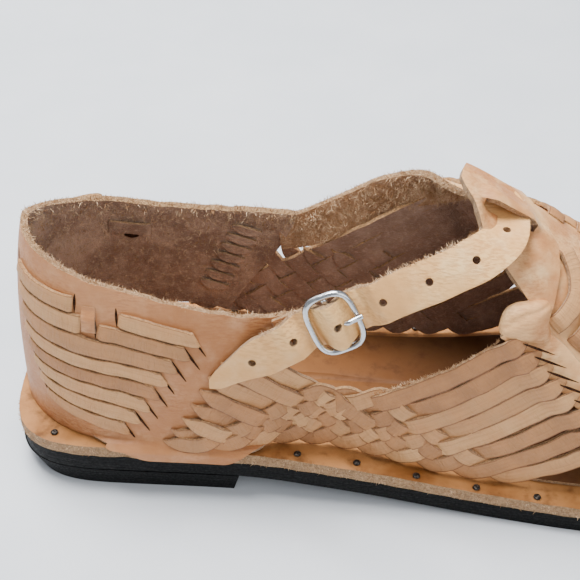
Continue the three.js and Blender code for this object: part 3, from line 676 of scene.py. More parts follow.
# Flesh side of the hide, scuffed to a nap: rough and matt, mottled brown with paler fibre ends.
def suede(name, base, dark, pale, nap=0.5):
    made, tree, place = blank(name, {
        "Roughness": 0.95, "Sheen Weight": 0.25, "Sheen Roughness": 0.5, "Specular IOR Level": 0.2,
    })
    patches = noise(tree, place, 12, 4.0, 0.6)
    fluff = noise(tree, place, 1.5, 6.0, 0.75)
    fibre = creases(tree, place, 0.9, (0.6, 1.4, 1.0), (0.3, 0.6, 0.2))
    colour = blend(tree, stretch(tree, patches, 0.35, 0.7), dark, base)
    colour = blend(tree, stretch(tree, fluff, 0.5, 0.72, 0.0, 0.85), colour, pale)
    return surface(made, tree, colour, [(patches, 0.6), (fluff, nap), (fibre, 0.12)])


# Cut edge of the hide, left raw: pale straw, spongy, with loose fibres.
def raw_edge(name, base, dark):
    made, tree, place = blank(name, {"Roughness": 0.9, "Sheen Weight": 0.2, "Specular IOR Level": 0.2})
    fluff = noise(tree, place, 0.9, 6.0, 0.8)
    patches = noise(tree, place, 5, 3.0)
    colour = blend(tree, stretch(tree, fluff, 0.35, 0.65), dark, base)
    colour = blend(tree, stretch(tree, patches, 0.4, 0.7, 0.0, 0.35), colour, dark)
    return surface(made, tree, colour, [(fluff, 0.55), (patches, 0.3)])


# Sole bend, heavy rolled cowhide: firm and smooth, orange brown, stained darker in patches, with
# optional painted shade towards the toe.
def bend_leather(name, base, dark, pale, wear_and_painted_shade=0.0):
    made, tree, place = blank(name, {"IOR": 1.4, "Specular IOR Level": 0.25})
    patches = noise(tree, place, 26, 4.0)
    stain = noise(tree, place, 6, 5.0, 0.6)
    pores = noise(tree, place, 0.9, 4.0)
    colour = blend(tree, stretch(tree, patches, 0.35, 0.7), base, pale)
    colour = blend(tree, stretch(tree, stain, 0.48, 0.75, 0.0, 0.7), colour, dark)
    # Painted shade: with a share set, the colour darkens towards the toe, where the vamp shades the
    # insole
    if wear_and_painted_shade:
        along = add(tree, "ShaderNodeSeparateXYZ", {0: place}).outputs["X"]
        colour = blend(tree, stretch(tree, along, -0.065, 0.01, 0.0, wear_and_painted_shade), colour, dark)
    rough = stretch(tree, stain, 0.3, 0.7, 0.42, 0.62)
    return surface(made, tree, colour, [(stain, 0.25), (pores, 0.06)], rough)


# Tyre rubber, cut and buffed on its edge: near black and matt, with fine cut marks.
def tyre_rubber(base, wear_and_painted_shade):
    made, tree, place = blank("tyre_rubber", {"IOR": 1.5, "Specular IOR Level": 0.22})
    grit = noise(tree, place, 0.8, 5.0, 0.7)
    cuts = add(tree, "ShaderNodeMapping", {"Vector": place, "Scale": (0.25, 0.25, 3.0)})
    marks = noise(tree, cuts.outputs["Vector"], 2.2, 4.0)
    colour = blend(tree, stretch(tree, marks, 0.5, 0.8, 0.0, 0.6), base, wear_and_painted_shade)
    rough = stretch(tree, grit, 0.3, 0.7, 0.55, 0.85)
    return surface(made, tree, colour, [(marks, 0.35), (grit, 0.15)], rough)


# Nickel plate on steel wire, polished: bright and slightly warm, dulled by fine rubbing marks.
def nickel_plate(base):
    made, tree, place = blank("nickel_plate", {"Metallic": 1.0, "Base Color": base})
    rubbed = noise(tree, place, 1.2, 5.0, 0.7)
    rough = stretch(tree, rubbed, 0.35, 0.75, 0.14, 0.34)
    return surface(made, tree, None, [(rubbed, 0.02)], rough)


# Cut iron tacks, clinched with a hammer: dark, dull, with a few rubbed facets.
def cut_iron(base, wear_and_painted_shade):
    made, tree, place = blank("cut_iron", {"Metallic": 0.85})
    hammer = noise(tree, place, 0.8, 3.0)
    colour = blend(tree, stretch(tree, hammer, 0.45, 0.7), base, wear_and_painted_shade)
    return surface(made, tree, colour, [(hammer, 0.12)], stretch(tree, hammer, 0.3, 0.7, 0.38, 0.62))


# Shadowed inside of a knife slit: dark burnt brown, matt.
def slit_shadow(base, pale):
    made, tree, place = blank("slit_cut", {"Roughness": 0.95, "Specular IOR Level": 0.1})
    fluff = noise(tree, place, 0.9, 4.0)
    colour = blend(tree, stretch(tree, fluff, 0.35, 0.7), base, pale)
    return surface(made, tree, colour, [(fluff, 0.1)])


# Loose collagen fibres of the raw hide: pale straw, matt, in lighter and darker tufts.
def loose_fibre(base, dark):
    made, tree, place = blank("loose_fibre", {"Roughness": 0.9, "Specular IOR Level": 0.2})
    tufts = noise(tree, place, 3.0, 4.0)
    return surface(made, tree, blend(tree, stretch(tree, tufts, 0.35, 0.65), dark, base))


class SandalColours(bpy.types.PropertyGroup):
    counter: hex_property("Counter", "Grain side of the counter and bands", "#C98E5E")
    counter_dark: hex_property("Counter, dark", "Darker patches of the counter", "#B67A49")
    counter_pale: hex_property("Counter, pale", "Paler patches of the counter", "#DCAB7E")
    strip: hex_property("Strips", "Woven strips", "#C88A55")
    strip_dark: hex_property("Strips, dark", "The darkest strips", "#9C6A42")
    strip_pale: hex_property("Strips, pale", "The palest strips", "#D3A16C")
    strap: hex_property("Strap", "Grain side of the ankle strap", "#FFCE88")
    strap_dark: hex_property("Strap, dark", "Darker patches of the strap", "#EBB472")
    strap_pale: hex_property("Strap, pale", "Paler patches of the strap", "#FFDDA6")
    tab: hex_property("Saddle piece", "Grain side of the saddle piece", "#F5C488")
    flesh: hex_property("Flesh side", "Nap inside the counter", "#CDAA90")
    flesh_dark: hex_property("Flesh side, dark", "Dark patches of the nap", "#9A7862")
    flesh_pale: hex_property("Flesh side, pale", "Fibre ends of the nap", "#DDBE9C")
    braid_back: hex_property("Strips, back", "Flesh side of the woven strips", "#B8967F")
    edge: hex_property("Raw edge", "Cut edges of the leather", "#C09A70")
    edge_dark: hex_property("Raw edge, dark", "Hollows of the cut edges", "#80603F")
    ledge: hex_property("Sole leather", "Top of the leather sole", "#7A4A20")
    ledge_dark: hex_property("Sole leather, dark", "Stains of the leather sole", "#5A3418")
    insole: hex_property("Insole", "Top of the insole", "#8A5A34")
    rubber: hex_property("Rubber", "Outsole and heel block", "#020202")
    nickel: hex_property("Nickel", "Buckle", "#C9CACC")
    iron: hex_property("Iron", "Tacks round the ledge", "#2A2623")


def size_property(name, description, default, least, **settings):
    return bpy.props.FloatProperty(name=name, description=description, default=default, min=least,
                                   **settings)


class SandalSizes(bpy.types.PropertyGroup):
    strip_width: size_property("Strip width", "Width of a woven strip in millimetres", 6.3, 3)
    strip_thick: size_property("Strip thickness", "Thickness of a strip in millimetres", 1.5, 0.5)
    counter_wall: size_property("Counter wall", "Thickness of the counter in millimetres", 2.4, 1)
    strap_width: size_property("Strap width", "Width of the ankle strap in millimetres", 14, 8)
    strap_thick: size_property("Strap thickness", "Thickness of the strap in millimetres", 2.4, 1)
    fuzz: size_property("Fuzz", "Share of the loose fibres that are made", 1.0, 0, max=2,
                        subtype="FACTOR")


MATERIALS = {}
# Looks of a thickened sheet: its face, its back and its cut edge
COUNTER_LOOK = ("counter", "flesh", "edge")
BAND_LOOK = ("tab", "braid_back", "edge")
STRIP_LOOK = ("strip", "braid_back", "strip_edge")
LOOP_LOOK = ("flesh", "flesh", "edge")


def make_materials(colours):
    def tones(*names):
        return [linear(name) if name[0] == "#" else list(getattr(colours, name)) for name in names]

    strap_flesh = tones("#C79C74", "#A07550", "flesh_pale")
    MATERIALS.update(
        counter=grain_leather("counter_grain", *tones("counter", "counter_dark", "counter_pale")),
        tab=grain_leather("saddle_grain", *tones("tab", "strip", "strap_pale"), 0.8, 0.05, 0.5),
        strap=grain_leather("strap_grain", *tones("strap", "strap_dark", "strap_pale"), 0.8, 0.07),
        strip=strip_leather("strip_grain", *tones("strip", "strip_dark", "strip_pale")),
        flesh=suede("flesh_nap", *tones("flesh", "flesh_dark", "flesh_pale"), 0.9),
        braid_back=suede("strip_flesh", *tones("braid_back", "flesh_dark", "flesh"), 0.4),
        strap_back=suede("strap_flesh", *strap_flesh, 0.6),
        edge=raw_edge("raw_edge", *tones("edge", "edge_dark")),
        strip_edge=raw_edge("strip_raw_edge", *tones("strip_pale", "edge_dark")),
        ledge=bend_leather("sole_bend", *tones("ledge", "ledge_dark", "#BC8450")),
        # The insole's 0.8 is painted shade, darker towards the toe under the vamp
        insole=bend_leather("insole_bend", *tones("insole", "#54341F", "#9A6B40"), 0.8),
        rubber=tyre_rubber(*tones("rubber", "#0B0B0B")),
        nickel=nickel_plate(*tones("nickel")),
        iron=cut_iron(*tones("iron", "#6E665E")),
        slit=slit_shadow(*tones("#23140C", "#4A2F1E")),
        fibre=loose_fibre(*tones("#E3C49F", "#A98059")),
    )


# Sole
LONG_SHARE = 0.88
INSOLE = 1.2
INSOLE_INSET = 3.2


def round_plan(line, inset=0.0):
    """Maps a square onto an outline: its border goes round the outline, its middle to the spine."""
    def place(u, v):
        a, b = 2 * u - 1, 2 * v - 1
        radius = np.maximum(np.abs(a), np.abs(b))
        safe = np.where(radius == 0, 1, radius)
        a, b = a / safe, b / safe
        turn = LONG_SHARE + (1 - np.abs(b)) * (1 - LONG_SHARE)
        half = np.where(np.abs(b) < 1 - 1e-6, np.sign(a) * turn, a * LONG_SHARE)
        station = mix(HEEL_START, TOE_END, (half + 1) / 2)
        x, y = line(np.where(b < 0, OUTER, INNER), station)
        spine_x = np.clip(x, HEEL_CENTRE, TOE_CENTRE)
        spine_y = TOE_SHIFT * HALF * smooth(x, HEEL_CENTRE, TOE_CENTRE)
        size = np.hypot(x - spine_x, y - spine_y)
        keep = radius * (size - inset) / np.maximum(size, 1e-6)
        return mix(spine_x, x, keep), mix(spine_y, y, keep)
    return place


def slab(name, plan, rise, thick, steps, bevel, look, slot, node, ripple=0.0):
    """A layer of the sole under a top that lies that high over the bed."""
    def place(u, v, lift):
        x, y = plan(u, v)
        edge = np.maximum(np.abs(2 * u - 1), np.abs(2 * v - 1)) ** 12
        wave = wander(x + y * 0.7, 11, 5) * ripple * edge
        return np.stack([x, y, bed(x) + rise + lift + wave], -1)

    piece = grid(name, steps, place, 0.0, (SOLE_LENGTH, BALL_WIDTH))
    thicken(piece, thick, bevel, 3)
    finish(piece, look, slot, node)


class SANDAL_OT_sole(bpy.types.Operator):
    """Makes the rubber outsole, its heel block, the leather sole and the insole."""

    bl_idname = "sandal.sole"
    bl_label = "Sole"

    def execute(self, context):
        slab("leather_sole_bend", round_plan(sole_line), 0, LEATHER, (190, 44), 0.7,
             ("ledge", "edge", "edge"), "sole_leather", "leather_sole", 0.125)
        slab("outsole_rubber", round_plan(sole_line, RUBBER_INSET), -LEATHER - SEAT, RUBBER,
             (150, 34), 0.6, ["rubber"], "rubber_black", "outsole")
        self.heel_block()
        slab("insole_bend", round_plan(foot_line, INSOLE_INSET), SEAT + INSOLE, INSOLE,
             (130, 30), 0.3, ("insole", "edge", "edge"), "insole_leather", "insole")
        return {"FINISHED"}

    def heel_block(self):
        stations = np.linspace(HEEL_START, HEEL_LENGTH, 400)
        past_back = sole_line(OUTER, stations)[0] > RUBBER_INSET + 0.3
        start = stations[np.argmax(past_back)]

        def place(u, v, lift):
            station = mix(start, HEEL_LENGTH, u ** 1.5)
            x0, y0 = sole_line(OUTER, station)
            x1, y1 = sole_line(INNER, station)
            y = mix(y0 + RUBBER_INSET, y1 - RUBBER_INSET, v)
            return np.stack([mix(x0, x1, v), y, np.full(y.shape, HEEL_BLOCK) + lift], -1)

        block = grid("heel_block_rubber", (60, 24), place)
        thicken(block, HEEL_BLOCK, 0)
        points = coordinates(block.data)
        low = points[:, 2] < HEEL_BLOCK / 2000
        x = points[low, 0] * 1000 - SOLE_LOW[0]
        y = points[low, 1] * 1000 - MIDDLE
        x = mix(HEEL_UNDERCUT, HEEL_LENGTH - HEEL_BREAST, np.clip(x / HEEL_LENGTH, 0, 1))
        y = y * (1 - HEEL_FLARE / (HEEL_WIDTH / 2))
        points[low] = to_row(np.stack([x, y, np.zeros(len(x))], -1))
        set_coordinates(block.data, points)
        bevelled(block, 0.8, 3)
        finish(block, ["rubber"], "rubber_black", "heel_block")


# Counter
COUNTER_LIFT = 0.9


def counter_place(u, v, lift):
    side = np.where(u < 0.5, OUTER, INNER)
    away = np.abs(u - 0.5) * 2
    ends = [COUNTER_EDGE[name]["at"][-1] * SOLE_LENGTH for name in (OUTER, INNER)]
    station = mix(HEEL_START, np.where(side > 0, ends[1], ends[0]), away)
    low, high = (
        np.where(side > 0, column(COUNTER_EDGE[INNER], name, station),
                 column(COUNTER_EDGE[OUTER], name, station)) * COLLAR
        for name in ("low", "top")
    )
    rim = wander(station * side, 9, 3) * 0.2 * smooth(v, 0.8, 1)
    return on_side(side, station, np.maximum(mix(low, high, v) + rim, 0), lift)


# Upper edges of the counter's eight strips, from their back slits over a shoulder to their front
# slits, and last the lower edge of the lowest one: [station, height]
COUNTER_STRIPS = (
    ((-6, 59.5), (4, 58), (26, 57.5), (42, 53.5), (68, 48)),
    ((-3, 54), (6, 52.3), (29, 51.3), (34.4, 49), (66, 42.8)),
    ((0, 47.5), (9, 45.3), (28, 44.2), (61.5, 38)),
    ((2.5, 41.3), (9, 38.8), (30, 36.5), (57.5, 32.6)),
    ((4.5, 35.7), (11, 33), (31, 31), (55, 27)),
    ((7, 30), (12.5, 27.6), (32, 25.5), (51.5, 21.3)),
    ((9.7, 24.5), (15.5, 21.8), (33, 19.3), (48.5, 15.3)),
    ((12.4, 18.5), (19, 15.8), (32, 12.8), (44, 9.8)),
    ((15.5, 12.6), (23, 9.6), (32, 7), (41, 4.0)),
)
# The two top strips stop for plain leather between these stations
STRIP_BREAKS = ((26.0, 41.5), (29.0, 34.0))
STRIP_GAP = 0.35
# Inside the counter: its flesh face, the row of strip ends, a long loop and the slot under it
INSIDE = -1.35
INSIDE_LOOPS = 7
INSIDE_LOW = (65.0, 16.5)
INSIDE_HIGH = (78.0, 45.5)
INSIDE_LOOP = ((27.6, 44.5), (42.9, 43.0))
INSIDE_SLOT = ((33.0, 39.2), (38.5, 38.8))
# A tongue of the counter over the second strip's break
STRIP_TAB = ((31.2, 54.5), (31.5, 50.0), (31.7, 45.0))


STRIP_OUT = 1.35
END_SLANT = 0.75
# Slits: how far each end lies from a strip's end, and how high they lie over the counter's face
FRONT_SLIT = ((-4.2, 0.6), (1.3, -8.4))
BACK_SLIT = ((-1.6, 1.0), (1.4, -5.0))
SLIT_LIFT = COUNTER_LIFT + 0.08


def counter_strip(side, index, low=-np.inf, high=np.inf):
    """One strip between its slits, or the part of it from station low to station high."""
    upper, under = (rounded(COUNTER_STRIPS[index + k], 120, 3.0) for k in (0, 1))
    middle = (upper + under) / 2
    centre = on_side(side, *middle.T)
    wide = on_side(side, *upper.T) - on_side(side, *under.T)
    wide = square_to(wide, unit(np.gradient(centre, axis=0)))
    wide = np.linalg.norm(wide, axis=1) - STRIP_GAP
    keep = (middle[:, 0] >= low) & (middle[:, 0] <= high)
    run = run_along(centre[keep])
    even = np.linspace(0, run[-1], max(int(run[-1] / 1.3), 8))
    middle = places_at(even, run, middle[keep])
    left, right = even, even[-1] - even
    wide = np.interp(even, run, wide[keep]) * mix(0.86, 1, smooth(left, 0, 2.5))
    dive = np.minimum(smooth(left, -0.4, 1.4), smooth(right, -0.4, 1.0))
    lift = COUNTER_LIFT + STRIP_OUT * mix(0.3, 1.0, dive)
    slant = side * (END_SLANT if high == np.inf else 0) * smooth(right, 9, 1)
    return side_ribbon(f"strip_{index}", side, middle, lift, wide, slant=slant,
                       shade=SEED.uniform(0.2, 0.9), seed=100 + index * 7 + side)


def slit_mark(side, at, to, lift, width=0.8):
    """A knife slit in the leather, drawn as a dark lens of painted shade."""
    t = np.linspace(0, 1, 9)
    wide = width * np.sin(np.pi * np.clip(t, 0.02, 0.98)) ** 0.7
    return side_ribbon("slit", side, rounded([at, to], 9, 0.5), lift, wide, crown=0.0, across=2)


def slit_by(side, place, ends, lift):
    """A slit whose ends lie off a place."""
    return slit_mark(side, *(np.add(place, end) for end in ends), lift)


def slit_piece(name, slits):
    # The slits' dark lenses are painted shade, made as one thin piece
    upper_part(name, slits, ["slit"], 0.3, 0)


FLAP_ENDS = (28.0, 92.0)


def foot_flap(u, v, lift):
    """The counter's foot, which wraps over the ledge and its rim in front of the heel."""
    station = mix(*FLAP_ENDS, u)
    reach = smooth(station, 24, 50) * (1 - smooth(station, 74, FLAP_ENDS[1]))
    go = v * mix(0.16, 1.0, reach) * 4
    foot_x, _ = foot_line(OUTER, station)
    sole_x, sole_y = sole_line(OUTER, station)
    level = bed(station)
    steps = [
        on_side(OUTER, station, 6.0, COUNTER_LIFT - 1.2),
        on_side(OUTER, station, 1.9, COUNTER_LIFT + 0.5),
        np.stack([foot_x, sole_y + 0.6, level + 1.5], -1),
        np.stack([sole_x, sole_y - 1.3, level - 0.4], -1),
        np.stack([sole_x, sole_y - 1.2, level - LEATHER + 0.3], -1),
    ]
    weights = (np.clip(1 - np.abs(go - k), 0, 1)[:, None] for k in range(len(steps)))
    point = sum(step * weight for step, weight in zip(steps, weights))
    out = np.stack([np.zeros(len(u)), -smooth(go, 0.6, 2.6) - 0.3, 1.2 - smooth(go, 1.6, 3.2)], -1)
    return point + unit(out) * lift


class SANDAL_OT_counter(bpy.types.Operator):
    """Makes the counter, its strips, the painted shade of the slits that they pass and its tab over
    the ledge.
    """

    bl_idname = "sandal.counter"
    bl_label = "Counter"

    def execute(self, context):
        sizes = context.scene.sandal_sizes
        shell = grid("counter_shell", (260, 34), counter_place, COUNTER_LIFT, (260, 59))
        upper_part("counter_shell", [shell], COUNTER_LOOK, sizes.counter_wall, 0.35, 3)
        flap = grid("counter_foot", (90, 24), foot_flap, 0.4, (64, 22))
        upper_part("counter_foot", [flap], COUNTER_LOOK, 1.4, 0.4, 3)
        strips, slits = [], []
        for side in (OUTER, INNER):
            for index, edge in enumerate(COUNTER_STRIPS[:-1]):
                if index < len(STRIP_BREAKS):
                    low, high = STRIP_BREAKS[index]
                    strips.append(counter_strip(side, index, high=low))
                    strips.append(counter_strip(side, index, low=high))
                    for at, slope in ((low, 0.3), (high, -0.35)):
                        place = (at + slope, np.interp(at, *zip(*edge)))
                        above = 0.6 if side == OUTER else -1.2
                        slits.append(slit_by(side, place, ((0, above), (0, -6.2)), SLIT_LIFT))
                else:
                    strips.append(counter_strip(side, index))
                slits.append(slit_by(side, edge[-1], FRONT_SLIT, SLIT_LIFT + 0.3))
                slits.append(slit_by(side, edge[0], BACK_SLIT, SLIT_LIFT))
        loops, tongues = [], []
        for side in (OUTER, INNER):
            loops += self.loops(side)
            # The slot under the inside loop, as a dark lens of painted shade
            slits.append(slit_mark(side, *INSIDE_SLOT, INSIDE - 0.15, 2.2))
            share = np.linspace(0, 1, 24)
            lift = COUNTER_LIFT + 0.1 + 1.3 * smooth(share, 0.1, 0.5) - 1.2 * smooth(share, 0.9, 1.0)
            tongues.append(side_ribbon("tongue", side, rounded(STRIP_TAB, 24, 1.0), lift, 4.6))
        upper_part("counter_loops", loops, LOOP_LOOK, 0.9)
        upper_part("counter_tongues", tongues, COUNTER_LOOK, 1.3)
        upper_part("counter_strips", strips, STRIP_LOOK, sizes.strip_thick)
        # Dark lenses of painted shade in the counter's slits
        slit_piece("counter_slits", slits)
        return {"FINISHED"}

    def loops(self, side):
        """The row of oval strip ends and the long loop on the counter's flesh face."""
        made = []
        t = np.linspace(0, 1, 16)
        for share in np.linspace(0, 1, INSIDE_LOOPS):
            place = mix(np.array(INSIDE_LOW), np.array(INSIDE_HIGH), share)
            path = rounded([place + (-5.5, 1.2), place + (4.5, -1.2)], 16, 0.5)
            oval = 4.4 * np.sin(np.pi * np.clip(t, 0.06, 0.94)) ** 0.5
            made.append(side_ribbon("loop", side, path, INSIDE - 1.1 * np.sin(np.pi * t), oval))
        lift = INSIDE - 0.9 * np.sin(np.pi * t) ** 0.3
        made.append(side_ribbon("loop", side, rounded(INSIDE_LOOP, 16, 0.5), lift, 5.6))
        return made


# Braid and fan: eight strips on the outer side. Each starts in a slit of the counter, runs down to the
# ledge and up again, and its last run up becomes a strip of the fan that ends in the band.
# Bounces are stations on the ledge, heads are the places where the strips enter the band.
BRAID_TOP = {
    "at": (0.22, 0.27, 0.31, 0.37, 0.4, 0.43),
    "high": (0.41, 0.38, 0.34, 0.29, 0.29, 0.32),
}
BOUNCES = (66.0, 74.5, 84.0, 93.5, 103.5, 113.5, 122.5, 132.0, 144.0, 156.0, 168.0)
HEADS = (
    (167.5, 57.0), (172.0, 52.5), (176.0, 48.5), (180.5, 44.0),
    (185.0, 39.8), (190.0, 35.0), (195.5, 29.5), (201.0, 24.0),
)
BRAID_SLITS = (
    (54.0, 3.5), (57.0, 9.0), (61.0, 14.5), (64.0, 20.5),
    (67.0, 26.5), (70.0, 32.0), (74.0, 37.5), (79.0, 42.0),
)
# How far the strips rise and fall at their crossings, how high their middle runs, how far apart
# their cross rows are and how round they turn
WEAVE = 0.8
BASE_LIFT = 0.6
WOVEN_STEP = 1.15
WOVEN_TURN = 3.2
# The counter's front edge, which the braid's first runs lie over: heights, stations
FRONT_EDGE = {
    OUTER: ((0.0, 13.0, 26.5, 41.0), (75.0, 83.5, 90.7, 98.0)),
    INNER: ((0.0, 6.0, 43.0, 55.0), (69.0, 70.0, 92.0, 93.0)),
}
# On the inner side the weave reaches up to the strap: ten strips, their starts, bounces and heads
INNER_STARTS = BRAID_SLITS[:4] + ((74, 30), (80, 35), (88, 37.5), (97, 38), (107, 40), (118, 45))
INNER_BOUNCES = (62, 72, 82, 92, 102, 112, 122, 132, 144, 156)
INNER_HEADS = (
    (148, 74), (150, 68), (152.5, 62.5), (156, 56.5), (160, 50.5),
    (165, 44.5), (171, 38), (178, 31), (186, 23), (195, 14),
)


# The inner fan's strips widen towards their heads by this share
INNER_SPREAD = 0.32
# How high the heads lie, and just over them the slits that swallow them
HEAD_LIFT = 4.0
HEAD_SLIT_LIFT = 4.3
# The fan's strips run this far past the band's edge, into the slits of the band
HEAD_REACH = 4.0

# Half a strip's width, the height of its middle line where it turns at the ledge
HALF_STRIP = 3.3


def run_on(foot, head):
    return np.array(head) + HEAD_REACH * unit(np.subtract(head, foot))


def inner_strips():
    strips = []
    for k, (start, bounce, head) in enumerate(zip(INNER_STARTS, INNER_BOUNCES, INNER_HEADS)):
        foot = (bounce, HALF_STRIP)
        strips.append(([start, foot, run_on(foot, head)], [("down", k), ("up", k)]))
    return strips


def braid_strips():
    """Waypoints of each strip with the numbers of the ledge bounces that its runs belong to."""
    strips = []
    for k, slit in enumerate(BRAID_SLITS):
        ways = [slit, (BOUNCES[k], HALF_STRIP)]
        runs = [("down", k), ("up", k)]
        fan = k - 3
        if fan < 0:
            again = k + 8
            turn = (BOUNCES[k] + BOUNCES[again]) / 2
            high = float(column(BRAID_TOP, "high", turn)) * INSTEP - HALF_STRIP
            ways += [(turn, high), (BOUNCES[again], HALF_STRIP)]
            runs += [("down", again), ("up", again)]
            fan = again - 3
        foot = np.array(ways[-1])
        head = run_on(foot, HEADS[fan])
        way = unit(head - foot)
        sag = 1.5 * np.array([way[1], -way[0]])
        ways += [(foot + head) / 2 + sag, head]
        runs += [runs[-1]]
        strips.append((ways, runs))
    return strips


def crossings(lines, labels):
    """Where the strips' middle lines cross, and which goes over: alternately over and under."""
    found = [[] for _ in lines]
    for a in range(len(lines)):
        for b in range(a, len(lines)):
            p, q = lines[a], lines[b]
            d, e = np.diff(p, axis=0), np.diff(q, axis=0)
            w = p[:-1, None, :] - q[None, :-1, :]
            cross = d[:, None, 0] * e[None, :, 1] - d[:, None, 1] * e[None, :, 0]
            cross = np.where(np.abs(cross) < 1e-9, 1e-9, cross)
            s = (e[None, :, 0] * w[..., 1] - e[None, :, 1] * w[..., 0]) / cross
            t = (d[:, None, 0] * w[..., 1] - d[:, None, 1] * w[..., 0]) / cross
            hit = (s >= 0) & (s < 1) & (t >= 0) & (t < 1)
            for i, j in zip(*np.nonzero(hit)):
                if a == b and j <= i + 3:
                    continue
                down, up = labels[a][i], labels[b][j]
                if down[0] == up[0]:
                    continue
                over = (down[1] + up[1]) % 2 == 0
                first_over = over if down[0] == "down" else not over
                found[a].append((i, 1 if first_over else -1))
                found[b].append((j, -1 if first_over else 1))
    return [sorted(set(row)) for row in found]


def weave_lift(count, hits, gain):
    """A smooth wave along a strip through its crossings."""
    at = [0]
    value = [0.0]
    for place, sign in hits:
        if place - at[-1] < 3:
            continue
        at.append(place)
        value.append(float(sign))
    if count - 1 - at[-1] > 12:
        at.append(at[-1] + 10)
        value.append(0.0)
    at.append(count - 1)
    value.append(0.0)
    x = np.arange(count)
    i = np.clip(np.searchsorted(at, x, side="right") - 1, 0, len(at) - 2)
    at, value = np.array(at, float), np.array(value)
    u = np.clip((x - at[i]) / (at[i + 1] - at[i]), 0, 1)
    return gain * mix(value[i], value[i + 1], (1 - np.cos(np.pi * u)) / 2)


def weave(side, width):
    lines, labels = [], []
    for ways, runs in braid_strips() if side == OUTER else inner_strips():
        ways = np.array(ways, float)
        count = int(run_along(ways)[-1] / WOVEN_STEP)
        line = rounded(ways, count, WOVEN_TURN)
        cuts = [np.argmin(np.linalg.norm(line - way, axis=1)) for way in ways[1:-1]]
        row = np.searchsorted(cuts, np.arange(count), side="right")
        labels.append([runs[min(r, len(runs) - 1)] for r in row])
        lines.append(line)
    pieces = []
    for k, (line, row) in enumerate(zip(lines, crossings(lines, labels))):
        left = run_along(line)
        right = left[-1] - left
        front = np.interp(line[:, 1], *FRONT_EDGE[side])
        base = mix(COUNTER_LIFT + 1.6, BASE_LIFT, smooth(line[:, 0] - front, 0, 14))
        lift = base + weave_lift(len(line), row, WEAVE) - 1.3 * (1 - smooth(left, -0.5, 2.2))
        lift = mix(lift, HEAD_LIFT, smooth(right, 14, 7)) - 1.7 * (1 - smooth(right, 0, 5))
        point = mix(0.12, 1.0, smooth(left, -1, 7)) * mix(0.2, 1.0, smooth(right, -0.5, 7.5))
        if side == INNER:
            point *= 1 + INNER_SPREAD * (1 - smooth(right, 15, 70))
        pieces.append(side_ribbon(
            f"woven_{k}", side, line, lift, width * point,
            shade=SEED.uniform(0.15, 0.95), seed=300 + 11 * k + side,
        ))
    return pieces


class SANDAL_OT_weave(bpy.types.Operator):
    """Makes the flat braid and the fan of each side from strips that pass over and under."""

    bl_idname = "sandal.weave"
    bl_label = "Braid and fan"

    def execute(self, context):
        sizes = context.scene.sandal_sizes
        for side, name in ((OUTER, "outer"), (INNER, "inner")):
            strips = weave(side, sizes.strip_width)
            upper_part(f"woven_strips_{name}", strips, STRIP_LOOK, sizes.strip_thick)
        return {"FINISHED"}


# Bands, vamp and saddle piece
BAND = (
    (164.0, 62.0), (170.0, 58.0), (178.0, 51.5), (188.0, 42.0), (200.0, 30.0), (213.0, 15.0),
    (224.0, 3.0),
)
INNER_BAND = (
    (151, 78), (153, 71), (157, 64), (162, 56), (168, 48), (176, 39), (186, 28), (197, 17), (207, 4),
)
BAND_WIDTH = 11.0
HEAD_SLIT = ((-4.2, 4.2), (6.0, 0.4))
# Where the outer band's knob sits, its half sizes and how far its front corner hangs down
KNOB = (168.6, 62.6, 0.9)
KNOB_HALF = (7.6, 5.2, 4.4)
KNOB_DROP = (5.5, -4.6)
KNOB_SQUARE = 0.66
# Heights where the plain leather under the vamp's strips stops, and shares of the sole's length
WALL_FOOT = {
    "at": (0.59, 0.63, 0.67, 0.71, 0.76, 0.79, 0.83),
    "high": (0.6, 0.46, 0.34, 0.2, 0.05, 0.0, 0.0),
}
WALL_START = 0.6 * SOLE_LENGTH
WALL_SLANT = 0.075 * SOLE_LENGTH


def band_line(side, count=70):
    return rounded(BAND if side == OUTER else INNER_BAND, count, 4)


